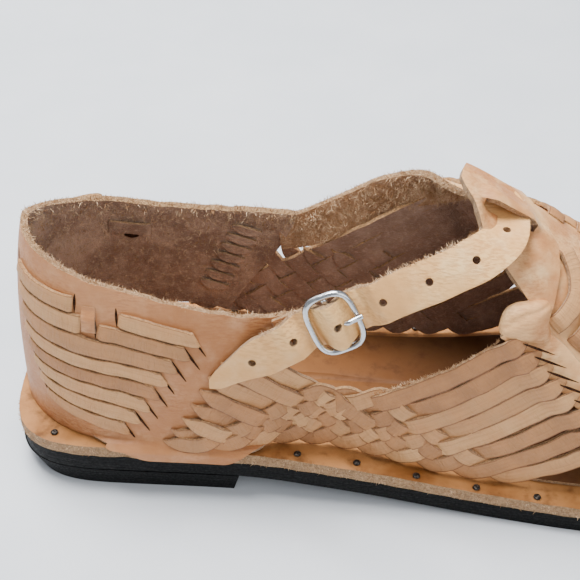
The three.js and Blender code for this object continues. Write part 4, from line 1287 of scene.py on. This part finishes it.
class SANDAL_OT_vamp(bpy.types.Operator):
    """Makes the bands, the curled knob at the outer one's top, the vamp's wall and its strips."""

    bl_idname = "sandal.vamp"
    bl_label = "Vamp"

    def execute(self, context):
        sizes = context.scene.sandal_sizes
        bands, slits, strips = [], [], []
        for side in (OUTER, INNER):
            line = band_line(side)
            lift = 2.2 + 0.12 * wander(run_along(line), 20, 4)
            bands.append(side_ribbon(f"band_{side}", side, line, lift, BAND_WIDTH, crown=0.7,
                                     across=10, shade=0.6, seed=40 + side))
            # Dark lenses of painted shade in the band's slits at the heads
            for head in HEADS[1:] if side == OUTER else INNER_HEADS[3:]:
                slits.append(slit_by(side, head, HEAD_SLIT, HEAD_SLIT_LIFT))
            strips += self.strips(side, sizes.strip_width)
        upper_part("side_bands", bands, BAND_LOOK, 2.2, 0.4, 3)
        slit_piece("band_slits", slits)
        upper_part("vamp_strips", strips, STRIP_LOOK, sizes.strip_thick)
        self.wall()
        self.knob()
        return {"FINISHED"}

    def knob(self):
        """The curled top of the outer band: a soft lump over the saddle piece's corner."""
        knob, points = ball("band_knob", 56, 36)
        ahead, above, out = points.T
        square = signed_power(points[:, :2], KNOB_SQUARE)
        slope = smooth(ahead, -1, 1)
        drop = smooth(-above, 0, 1) * slope
        station = KNOB[0] + KNOB_HALF[0] * square[:, 0] + KNOB_DROP[0] * drop + 1.2 * square[:, 1]
        height = KNOB[1] + mix(KNOB_HALF[1], 4.8, slope) * square[:, 1] + KNOB_DROP[1] * drop
        fold = 0.5 * np.exp(-((ahead * 0.5 - above + 0.25) / 0.16) ** 2)
        lift = KNOB[2] + mix(KNOB_HALF[2], 2.6, drop) * out - fold * (out > 0)
        set_coordinates(knob.data, to_row(on_side(OUTER, station, height, lift)))
        face_outwards(knob)
        finish(knob, ["tab"], "upper_leather", "upper")

    def wall(self):
        """The plain leather under the strips, from the band's line forward."""
        def place(u, v, lift):
            away = np.abs(v - 0.5) * 2
            station = mix(WALL_START, TOE_END, u) + WALL_SLANT * away * np.sin(np.pi * u)
            foot = share_at(station, np.maximum(column(WALL_FOOT, "high", station), 0) * INSTEP)
            share = mix(1, np.where(v < 0.5, foot, 2 - foot), away)
            return on_last(OUTER, np.minimum(station, TOE_END), share, lift)

        wall = grid("vamp_wall", (70, 60), place, -0.2, (150, 150))
        upper_part("vamp_wall", [wall], BAND_LOOK, 1.5, 0.2)

    def strips(self, side, width):
        """Strips from slits beside the ridge down to the band or, further forward, the ledge."""
        feet = band_line(side, 200)[24:179:22] + (5.5, 3.5)
        feet = np.vstack([feet, [(s, 2.0) for s in np.linspace(234, TOE_END - 3, 9)]])
        total = len(feet)
        t = np.linspace(0, 1, 42)
        made = []
        for k, (foot_at, foot_high) in enumerate(feet):
            head_at = mix(180.0, TOE_CENTRE + 34, (k / (total - 1)) ** 1.05)
            head_share = 0.9 - 0.06 * (k % 2)
            bow = 6.0 * np.sin(np.pi * t) * (1 - k / total)
            station = mix(head_at, foot_at, t) + bow
            share = mix(head_share, share_at(foot_at, foot_high), t)
            centre = on_last(side, station, share, 0.0)
            up = on_last(side, station, share, 1.0) - centre
            run = run_along(centre)
            dive = np.minimum(smooth(run, 0, 3), smooth(run[-1] - run, 0, 3))
            centre = centre + up * (0.1 + 1.6 * dive)[:, None]
            spread = mix(1.0, 0.72, smooth(k, total * 0.55, total) * (1 - t) ** 0.5)
            made.append(ribbon(f"vamp_{side}_{k}", centre, up, width * 1.02 * spread, crown=0.35,
                               shade=SEED.uniform(0.15, 0.85), seed=500 + 9 * k + side))
        return made


# Edges of the saddle piece at shares of the girth, from its outer corner over the ridge at 1
TAB = {
    "at": (0.55, 0.66, 0.74, 0.85, 0.95, 1.07, 1.2, 1.45),
    "back": (173.0, 161.5, 154.5, 151.0, 146.5, 148.0, 149.5, 156.0),
    "front": (176.0, 178.0, 178.8, 179.0, 175.0, 169.5, 168.0, 166.0),
}
# The slit that the strap leaves it through: share of the girth, its ends, and how far its edges part
SLIT_SHARE = 0.875
SLIT_ENDS = (154.5, 170.5)
SLIT_LIP = 2.8
SLIT_SUNK = -3.0
TAB_ROWS = 96
TAB_SIZE = (30, 110)


def tab_station(share, u):
    back, front = (np.interp(share, TAB["at"], TAB[name]) for name in ("back", "front"))
    return mix(back, front, u)


class SANDAL_OT_saddle(bpy.types.Operator):
    """Makes the saddle piece over the instep, with the slit that the strap leaves it through."""

    bl_idname = "sandal.saddle"
    bl_label = "Saddle piece"

    def execute(self, context):
        low, high = TAB["at"][0], TAB["at"][-1]
        start, end = SLIT_ENDS
        slit_row = round((SLIT_SHARE - low) / (high - low) * TAB_ROWS)
        slit_middle = mix(low, high, (slit_row + 0.5) / TAB_ROWS)

        def place(u, v, lift):
            share = mix(low, high, v)
            station = tab_station(share, u)
            opened = smooth(station, start - 3, start + 3) * (1 - smooth(station, end - 3, end + 3))
            over = v * TAB_ROWS > slit_row + 0.5
            lip = SLIT_LIP * (1 - smooth(share, SLIT_SHARE, 1.05))
            sunk = SLIT_SUNK * smooth(share, 0.7, SLIT_SHARE)
            rim = wander(share * 60 + u * 5, 7, 12) * 0.25
            return on_last(OUTER, station, share, lift + rim + opened * np.where(over, lip, sunk))

        def in_slit(u, v):
            station = tab_station(slit_middle, u * 10 / TAB_SIZE[0])
            row = v * 10 / TAB_SIZE[1] * TAB_ROWS
            return abs(row - slit_row - 0.5) < 0.4 and start < station < end

        tab = grid("saddle_piece", (48, TAB_ROWS), place, 1.2, TAB_SIZE)
        delete_faces(tab, in_slit)
        upper_part("saddle_piece", [tab], ("tab", "flesh", "edge"), 2.0, 0.4, 3)
        return {"FINISHED"}


# Ankle strap: its middle line as shares of the length, of half the width and of the instep height
STRAP = (
    (0.278, 0.46, 0.546), (0.333, 0.52, 0.567), (0.389, 0.56, 0.64), (0.4375, 0.53, 0.739),
    (0.479, 0.45, 0.806), (0.517, 0.28, 0.868), (0.549, 0.1, 0.918), (0.562, -0.1, 0.9),
    (0.558, -0.29, 0.893), (0.537, -0.43, 0.88), (0.503, -0.51, 0.838), (0.451, -0.57, 0.77),
    (0.403, -0.63, 0.695), (0.361, -0.666, 0.638), (0.325, -0.69, 0.569), (0.288, -0.7, 0.496),
    (0.262, -0.706, 0.436), (0.245, -0.71, 0.387),
)
BUCKLE_AT = 0.785
TIP_LENGTH = 22
TIP_WIDTH = 3
WIRE = 2.2
FRAME_LENGTH = 15
FRAME_WIDTH = 20
# The inner run stands upright and leans out a little
FLARE = 0.9
# The strap starts in the counter's wall: that far along, that far outwards, and clear of it by there
STRAP_START = 9.0
STRAP_ROOT = 1.8
STRAP_ROOT_END = 22
HOLE_PITCH = 15.5
HOLE_SIZE = 2.6
HOLES = 7
HOLE_DEPTH = 6
TIP_HOLE = 18


def strap_curve(per_span=40):
    """Centripetal curve through the strap's points, and the distances along it."""
    points = np.array([(a * SOLE_LENGTH, o * HALF, BALL_LEVEL + h * INSTEP) for a, o, h in STRAP])
    ends = np.vstack([2 * points[0] - points[1], points, 2 * points[-1] - points[-2]])
    line = []
    for p0, p1, p2, p3 in zip(ends, ends[1:], ends[2:], ends[3:]):
        d0, d1, d2 = (math.sqrt(np.linalg.norm(b - a)) for a, b in ((p0, p1), (p1, p2), (p2, p3)))
        m1 = ((p1 - p0) / d0 - (p2 - p0) / (d0 + d1) + (p2 - p1) / d1) * d1
        m2 = ((p2 - p1) / d1 - (p3 - p1) / (d1 + d2) + (p3 - p2) / d2) * d1
        t = np.linspace(0, 1, per_span, endpoint=False)[:, None]
        a = 2 * t ** 3 - 3 * t ** 2 + 1
        b = t ** 3 - 2 * t ** 2 + t
        line.append(a * p1 + b * m1 + (1 - a) * p2 + (t ** 3 - t ** 2) * m2)
    line = np.vstack(line + [points[-1:]])
    return line, run_along(line)


STRAP_LINE, STRAP_RUN = strap_curve()
STRAP_LENGTH = STRAP_RUN[-1]


def strap_frame(distance):
    """Middle, along, across and off the face at distances along the strap."""
    distance = np.atleast_1d(np.asarray(distance, float))
    before, centre, after = (
        places_at(np.clip(distance + step, 0, STRAP_LENGTH), STRAP_RUN, STRAP_LINE)
        for step in (-1, 0, 1)
    )
    along = unit(after - before)
    side = centre[:, 1] / HALF
    flat = np.sqrt(np.maximum(1 - (side / 0.62) ** 2, 0))
    upright = FLARE * smooth(side, 0.05, 0.42)
    off = np.stack([np.zeros_like(side), side * 2.2, flat + 0.25 - upright], -1)
    off = unit(square_to(off, along))
    return centre, along, np.cross(along, off), off


def bar_offset(sizes):
    return (WIRE + sizes.strap_thick) / 2 + 3 * SEAT


def strap_dip(distance, offset):
    """The strap dips under both ends of the buckle's frame and rises over its centre bar."""
    half = FRAME_LENGTH / 2
    away = np.abs(distance - BUCKLE_AT * STRAP_LENGTH)
    outside = -offset * np.clip((2 - away / half) / 0.6, 0, 1)
    return np.where(away < half, offset * np.cos(np.pi * away / half), outside)


def strap_root(distance):
    """How far out the strap's start lies, in the counter's wall."""
    return STRAP_ROOT * (1 - smooth(distance, STRAP_START, STRAP_ROOT_END))


class SANDAL_OT_strap(bpy.types.Operator):
    """Makes the ankle strap with its pointed tip and its punched holes."""

    bl_idname = "sandal.strap"
    bl_label = "Ankle strap"

    def execute(self, context):
        sizes = context.scene.sandal_sizes
        offset = bar_offset(sizes)

        def place(u, v, lift):
            distance = mix(STRAP_START, STRAP_LENGTH, u)
            centre, along, across, off = strap_frame(distance)
            w = 2 * v - 1
            taper = np.clip((STRAP_LENGTH - distance) / TIP_LENGTH, 0, 1)
            half = mix(TIP_WIDTH, sizes.strap_width, taper ** 0.8) / 2 + wander(distance, 20, 8) * 0.15
            half = half + 1.2 * np.exp(-((distance - BUCKLE_AT * STRAP_LENGTH) / 4.5) ** 2)
            tip = -1.2 * np.abs(w) * (1 - smooth(STRAP_LENGTH - distance, 0, 2.5))
            curl = -0.35 * w * w + wander(distance, 7, 9) * 0.08 + strap_root(distance)
            high = strap_dip(distance, offset) + lift + curl
            return centre + along * tip[:, None] + across * (w * half)[:, None] + off * high[:, None]

        strap = grid("ankle_strap_leather", (420, 18), place, sizes.strap_thick / 2,
                     (STRAP_LENGTH, sizes.strap_width))
        edited(strap, self.punch)
        thicken(strap, sizes.strap_thick, 0.35, 3)
        finish(strap, ("strap", "strap_back", "edge"), "strap_leather", "ankle_strap")
        return {"FINISHED"}

    def punch(self, bm):
        """Opens the row of holes: faces inside each are deleted and its rim is made round."""
        radius = HOLE_SIZE / 2
        for k in range(HOLES):
            distance = STRAP_LENGTH - TIP_HOLE - k * HOLE_PITCH
            centre, along, across, off = (Vector(row[0]) for row in strap_frame(distance))
            middle = Vector(to_row(centre))

            def reach(point, far):
                """The point's place on the strap's face, if it lies within that reach."""
                away = (point - middle) * 1000
                flat = Vector((away.dot(along), away.dot(across)))
                return flat if flat.length < far and abs(away.dot(off)) < HOLE_DEPTH else None

            near = [face for face in bm.faces if reach(face.calc_center_median(), radius)]
            bmesh.ops.delete(bm, geom=near, context="FACES")
            for vertex in bm.verts:
                flat = reach(vertex.co, radius * 1.7) if vertex.is_boundary else None
                if flat and flat.length > 0.01:
                    shift = (radius - flat.length) / flat.length / 1000
                    vertex.co += (along * flat.x + across * flat.y) * shift


# Buckle
RING_TUBE = 0.25
RING_SQUARE = 3.4
PRONG_RADIUS = 0.85
CHAPE = {"thick": 1.6, "wide": 11, "long": 19}


def buckle_point(a, b, c):
    centre, along, across, off = (row[0] for row in strap_frame(BUCKLE_AT * STRAP_LENGTH))
    a, b, c = (np.asarray(part, float)[..., None] for part in (a, b, c))
    return centre + a * along + b * across + c * off


class SANDAL_OT_buckle(bpy.types.Operator):
    """Makes the buckle's wire frame, its centre bar, its prong and the leather that holds it."""

    bl_idname = "sandal.buckle"
    bl_label = "Buckle"

    def execute(self, context):
        sizes = context.scene.sandal_sizes
        ring = self.wire_frame()
        bar = self.rod("centre_bar", [(0, -FRAME_WIDTH / 2, 0), (0, FRAME_WIDTH / 2, 0)], WIRE / 2)
        finish(joined("buckle_wire", [ring, bar]), ["nickel"], "nickel", "buckle_frame", angle=60)
        offset = bar_offset(sizes)
        half = FRAME_LENGTH / 2
        rise = offset * math.cos(math.pi * 3.4 / half) + sizes.strap_thick / 2
        rest = WIRE / 2 + SEAT + 0.8
        prong = self.rod("buckle_prong_wire", [
            (-3.2, 0, rise + 0.6), (-4.6, 0, rise + 1.3), (-half * 0.7, 0, rest + 0.6),
            (-half, 0, rest), (-half - 2, 0, rest - 0.3),
        ], PRONG_RADIUS)
        finish(prong, ["nickel"], "nickel", "buckle_prong", angle=60)
        self.chape(sizes, offset)
        return {"FINISHED"}

    def wire_frame(self):
        nothing_selected()
        bpy.ops.mesh.primitive_torus_add(major_segments=96, minor_segments=16, major_radius=1.0,
                                         minor_radius=RING_TUBE)
        ring = bpy.context.object
        ring.name = "buckle_ring"
        x, y, z = coordinates(ring.data).T
        around = np.arctan2(y, x)
        wire = WIRE / 2 / RING_TUBE
        reach = (np.hypot(x, y) - 1) * wire
        half = np.array([FRAME_LENGTH, FRAME_WIDTH]) / 2
        turn = np.stack([np.cos(around), np.sin(around)], -1)
        line = half * signed_power(turn, 2 / RING_SQUARE)
        out = unit(signed_power(turn, 2 - 2 / RING_SQUARE) / half)
        a, b = (line + out * reach[:, None]).T
        set_coordinates(ring.data, to_row(buckle_point(a, b, z * wire)))
        face_outwards(ring)
        return ring

    def rod(self, name, path, radius):
        """A round-ended wire along a path in the buckle's frame."""
        line = rounded(path, 24, 0.8)
        piece, points = ball(name, 16, 26)
        row = (points[:, 2] + 1) / 2 * (len(line) - 1)
        low = np.clip(row.astype(int), 0, len(line) - 2)
        centre = mix(line[low], line[low + 1], (row - low)[:, None])
        along = unit(np.gradient(line, axis=0))[low]
        side = np.cross(along, [0.0, 0.0, 1.0])
        side[np.linalg.norm(side, axis=1) < 1e-3] = (1, 0, 0)
        side = unit(side)
        round_end = np.sqrt(np.clip(1 - (np.abs(points[:, 2]) - 0.9).clip(0) ** 2 / 0.01, 0, 1))
        ring = unit(points[:, :2]) * (radius * round_end)[:, None]
        local = centre + side * ring[:, :1] + np.cross(side, along) * ring[:, 1:]
        set_coordinates(piece.data, to_row(buckle_point(*local.T)))
        face_outwards(piece)
        return piece

    def chape(self, sizes, offset):
        thick, wide, long = CHAPE.values()
        inner = -(offset + (sizes.strap_thick + thick) / 2 + 2 * SEAT)
        low = -WIRE / 2 - SEAT - thick / 2
        path = [(-1, 0, low), (WIRE / 2 + 1.4, 0, low), (6, 0, inner), (long, 0, inner + 0.2)]
        path = rounded(path, 30, 1.5)

        def place(u, v, lift):
            row = np.clip(np.rint(u * 29).astype(int), 0, 29)
            return buckle_point(path[row, 0], (v - 0.5) * wide, path[row, 2] + lift)

        chape = grid("buckle_chape_leather", (29, 8), place, thick / 2, (long, wide))
        thicken(chape, thick, 0.25)
        finish(chape, COUNTER_LOOK, "upper_leather", "buckle_chape")


# Nails
NAILS = 19
TACK_SIZE = (1.3, 1.25)


class SANDAL_OT_tacks(bpy.types.Operator):
    """Makes the clinched tacks on the ledge, each hammered a little differently."""

    bl_idname = "sandal.tacks"
    bl_label = "Tacks"

    def execute(self, context):
        for number in range(1, NAILS + 1):
            low, high = (np.array(corner) * 1000 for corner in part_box(f"nail_{number:02d}"))
            centre = (low + high) / 2 - (SOLE_LOW[0], MIDDLE, 0)
            centre[2] = low[2] + 0.12
            tack, points = ball(f"tack_{number:02d}", 18, 9)
            x, y, z = points.T
            dents = 1 + 0.07 * wander(np.arctan2(y, x) * 3 + number, 3, number)
            top = np.where(z > 0, 0.55, 0.35)
            tilt = x * SEED.uniform(-0.08, 0.08)
            rise = np.clip(z * 1.5, -1, 1) * top + tilt
            local = np.stack([x * TACK_SIZE[0] * dents, y * TACK_SIZE[1] * dents, rise], -1)
            set_coordinates(tack.data, to_row(centre + local))
            finish(tack, ["iron"], "iron_nail", f"nail_{number:02d}", angle=35)
        return {"FINISHED"}


# Loose fibres: how many of each kind, before the fuzz property
FIBRES = {"rim": 4200, "nap": 9000, "strap_nap": 5200, "strap_edge": 1600, "ledge": 5000, "fan": 500}
INSIDE_FACE = -1.45
UP = np.array([0.0, 0.0, 1.0])
# Where the free edge of each fan's first strip runs: its foot, its head and the share it starts at
FAN_EDGES = (
    (OUTER, BOUNCES[3], HEADS[0], 0.42),
    (INNER, INNER_BOUNCES[0], INNER_HEADS[0], 0.35),
)


class SANDAL_OT_fibres(bpy.types.Operator):
    """Makes the loose fibres of the raw edges and of the flesh side."""

    bl_idname = "sandal.fibres"
    bl_label = "Loose fibres"

    def execute(self, context):
        sizes = context.scene.sandal_sizes
        rng = np.random.default_rng(11)
        counts = {name: int(count * sizes.fuzz) for name, count in FIBRES.items()}

        def scatter(count, spread=1.0):
            return rng.normal(size=(count, 3)) * spread

        self.counter(rng, scatter, counts)
        self.strap(rng, scatter, counts, sizes)
        self.ledge(rng, scatter, counts["ledge"])
        self.fan(rng, scatter, counts["fan"], sizes.strip_width / 2 - 0.2)
        return {"FINISHED"}

    def counter(self, rng, scatter, counts):
        count = counts["rim"]
        roots = counter_place(rng.uniform(0, 1, count), np.ones(count), rng.uniform(-1.4, 0.8, count))
        roots[:, 2] -= 0.3
        ways = scatter(count, 0.6) + UP
        blades("rim_fibres", "upper_leather", roots, ways, rng.uniform(0.5, 1.5, count))

        count = counts["nap"]
        u, v = rng.uniform(0, 1, count), rng.beta(1.6, 1.0, count)
        roots = counter_place(u, v, np.full(count, INSIDE_FACE))
        inward = counter_place(u, v, np.full(count, INSIDE_FACE - 1)) - roots
        ways = scatter(count) + inward * 0.7
        length = rng.uniform(0.6, 1.7, count) * mix(0.6, 1.2, v)
        blades("nap_fibres", "upper_leather", roots, ways, length)

    def strap(self, rng, scatter, counts, sizes):
        half, back = sizes.strap_width / 2, sizes.strap_thick / 2 - 0.1
        count = counts["strap_nap"]
        distance = rng.uniform(STRAP_START + 5, 0.36 * STRAP_LENGTH, count)
        centre, _, across, off = strap_frame(distance)
        w = rng.uniform(-0.97, 0.97, count)
        deep = strap_root(distance) - back
        roots = centre + across * (w * half)[:, None] + off * deep[:, None]
        ways = scatter(count) - off * 0.5
        blades("strap_nap_fibres", "strap_leather", roots, ways, rng.uniform(0.8, 2.3, count))

        count = counts["strap_edge"]
        distance = rng.uniform(STRAP_START + 6, STRAP_LENGTH - 26, count)
        centre, _, across, off = strap_frame(distance)
        upper = np.where(across[:, 2] > 0, 1, -1)[:, None]
        deep = rng.uniform(-back, back, count) + strap_dip(distance, bar_offset(sizes))
        roots = centre + across * upper * (half - 0.15) + off * deep[:, None]
        ways = scatter(count, 0.5) + across * upper
        blades("strap_edge_fibres", "strap_leather", roots, ways, rng.uniform(0.4, 1.5, count))

    def ledge(self, rng, scatter, count):
        station = rng.uniform(HEEL_START, TOE_END, count)
        side = np.where(rng.uniform(size=count) < 0.7, OUTER, INNER)
        x, y = sole_line(side, station)
        deep = rng.uniform(0.2, LEATHER - 0.3, count)
        outward = unit(np.stack([np.minimum(x - HEEL_CENTRE, 0), y, np.zeros(count)], -1))
        roots = np.stack([x, y, bed(x) - deep], -1) - outward * 0.25
        ways = scatter(count, 0.6) + outward
        blades("ledge_fibres", "sole_leather", roots, ways, rng.uniform(0.4, 1.1, count))

    def fan(self, rng, scatter, count, high):
        roots, ways = [], []
        for side, bounce, head, start in FAN_EDGES:
            foot = np.array([bounce, HALF_STRIP])
            t = rng.uniform(start, 0.97, count)
            line = foot + (head - foot) * t[:, None]
            if side == OUTER:
                line[:, 1] -= 1.2 * np.sin(np.pi * t)
            slope = unit(head - foot)
            line = line + np.array([-slope[1], slope[0]]) * high
            roots.append(on_side(side, *line.T, rng.uniform(-0.6, 0.6, count)))
            ways.append(scatter(count, 0.5) + UP)
        roots = np.vstack(roots)
        length = rng.uniform(0.4, 1.1, len(roots))
        blades("fan_edge_fibres", "upper_leather", roots, np.vstack(ways), length)


# Stage: the camera fitted to the photo, and the area lights with their places, sizes and watts
CAMERA_AZIMUTH = math.radians(3.7)
CAMERA_ELEVATION = math.radians(40.5)
CAMERA_DISTANCE = 0.45
CAMERA_TARGET = (94.0, 0.0, 60.5)
SENSOR = 36
PHOTO_PIXELS = 580
FOCAL_PIXELS = 1342
LIGHT_AIM = Vector((-0.03, 0, 0.04))
LIGHTS = (
    ("key", (-0.25, 0.15, 1.0), 0.5, 24.0),
    ("fill", (0.5, -0.7, 0.7), 0.9, 5.0),
    ("rear", (-0.5, 0.7, 0.6), 0.7, 4.0),
)


def aimed(scene, name, data, place, way):
    """An object at a place that looks along a way."""
    holder = bpy.data.objects.new(name, data)
    scene.collection.objects.link(holder)
    holder.location = place
    holder.rotation_euler = way.to_track_quat("-Z", "Y").to_euler()
    return holder


class SANDAL_OT_stage(bpy.types.Operator):
    """Makes the pale floor, the soft lights and the camera."""

    bl_idname = "sandal.stage"
    bl_label = "Stage"

    def execute(self, context):
        scene = context.scene
        nothing_selected()
        bpy.ops.mesh.primitive_plane_add(size=6)
        floor = context.object
        floor.name = "floor"
        floor.data.materials.append(self.board())
        world = bpy.data.worlds.new("studio")
        world.use_nodes = True
        background = world.node_tree.nodes["Background"]
        background.inputs["Color"].default_value = linear("#E6EBF2")
        background.inputs["Strength"].default_value = 0.5
        scene.world = world
        for name, place, size, power in LIGHTS:
            light = bpy.data.lights.new(name, "AREA")
            light.energy = power
            light.size = size
            aimed(scene, name, light, place, LIGHT_AIM - Vector(place))
        self.camera(scene)
        return {"FINISHED"}

    def board(self):
        # Painted studio board: cool near-white, matt, barely mottled.
        made, tree, place = blank("painted_board", {"Roughness": 0.75})
        mottle = stretch(tree, noise(tree, place, 60, 3.0), 0.3, 0.7)
        return surface(made, tree, blend(tree, mottle, linear("#D8DDE3"), linear("#DFE3E8")))

    def camera(self, scene):
        back = Vector((
            math.sin(CAMERA_AZIMUTH) * math.cos(CAMERA_ELEVATION),
            -math.cos(CAMERA_AZIMUTH) * math.cos(CAMERA_ELEVATION),
            math.sin(CAMERA_ELEVATION),
        ))
        data = bpy.data.cameras.new("camera")
        data.sensor_width = SENSOR
        data.lens = SENSOR * FOCAL_PIXELS / PHOTO_PIXELS
        data.clip_start = 0.01
        place = Vector(to_row(CAMERA_TARGET)) + back * CAMERA_DISTANCE
        scene.camera = aimed(scene, "camera", data, place, -back)


class SANDAL_PT_panel(bpy.types.Panel):
    """Lists the steps that make the sandal."""

    bl_idname = "SANDAL_PT_panel"
    bl_label = "Huarache sandal"
    bl_space_type = "VIEW_3D"
    bl_region_type = "UI"
    bl_category = "Sandal"

    def draw(self, context):
        layout = self.layout
        for group in (context.scene.sandal_sizes, context.scene.sandal_colours):
            for name in group.__annotations__:
                layout.prop(group, name)
        for operator in OPERATORS:
            layout.operator(operator.bl_idname)


OPERATORS = (
    SANDAL_OT_stage, SANDAL_OT_sole, SANDAL_OT_counter, SANDAL_OT_weave, SANDAL_OT_vamp,
    SANDAL_OT_saddle, SANDAL_OT_strap, SANDAL_OT_buckle, SANDAL_OT_tacks, SANDAL_OT_fibres,
)
CLASSES = (SandalColours, SandalSizes) + OPERATORS + (SANDAL_PT_panel,)


def register():
    for kind in CLASSES:
        bpy.utils.register_class(kind)
    bpy.types.Scene.sandal_colours = bpy.props.PointerProperty(type=SandalColours)
    bpy.types.Scene.sandal_sizes = bpy.props.PointerProperty(type=SandalSizes)


def unregister():
    del bpy.types.Scene.sandal_sizes
    del bpy.types.Scene.sandal_colours
    for kind in reversed(CLASSES):
        bpy.utils.unregister_class(kind)


def main():
    register()
    make_materials(bpy.context.scene.sandal_colours)
    for operator in OPERATORS:
        group, name = operator.bl_idname.split(".")
        getattr(getattr(bpy.ops, group), name)()


if __name__ == "__main__":
    main()
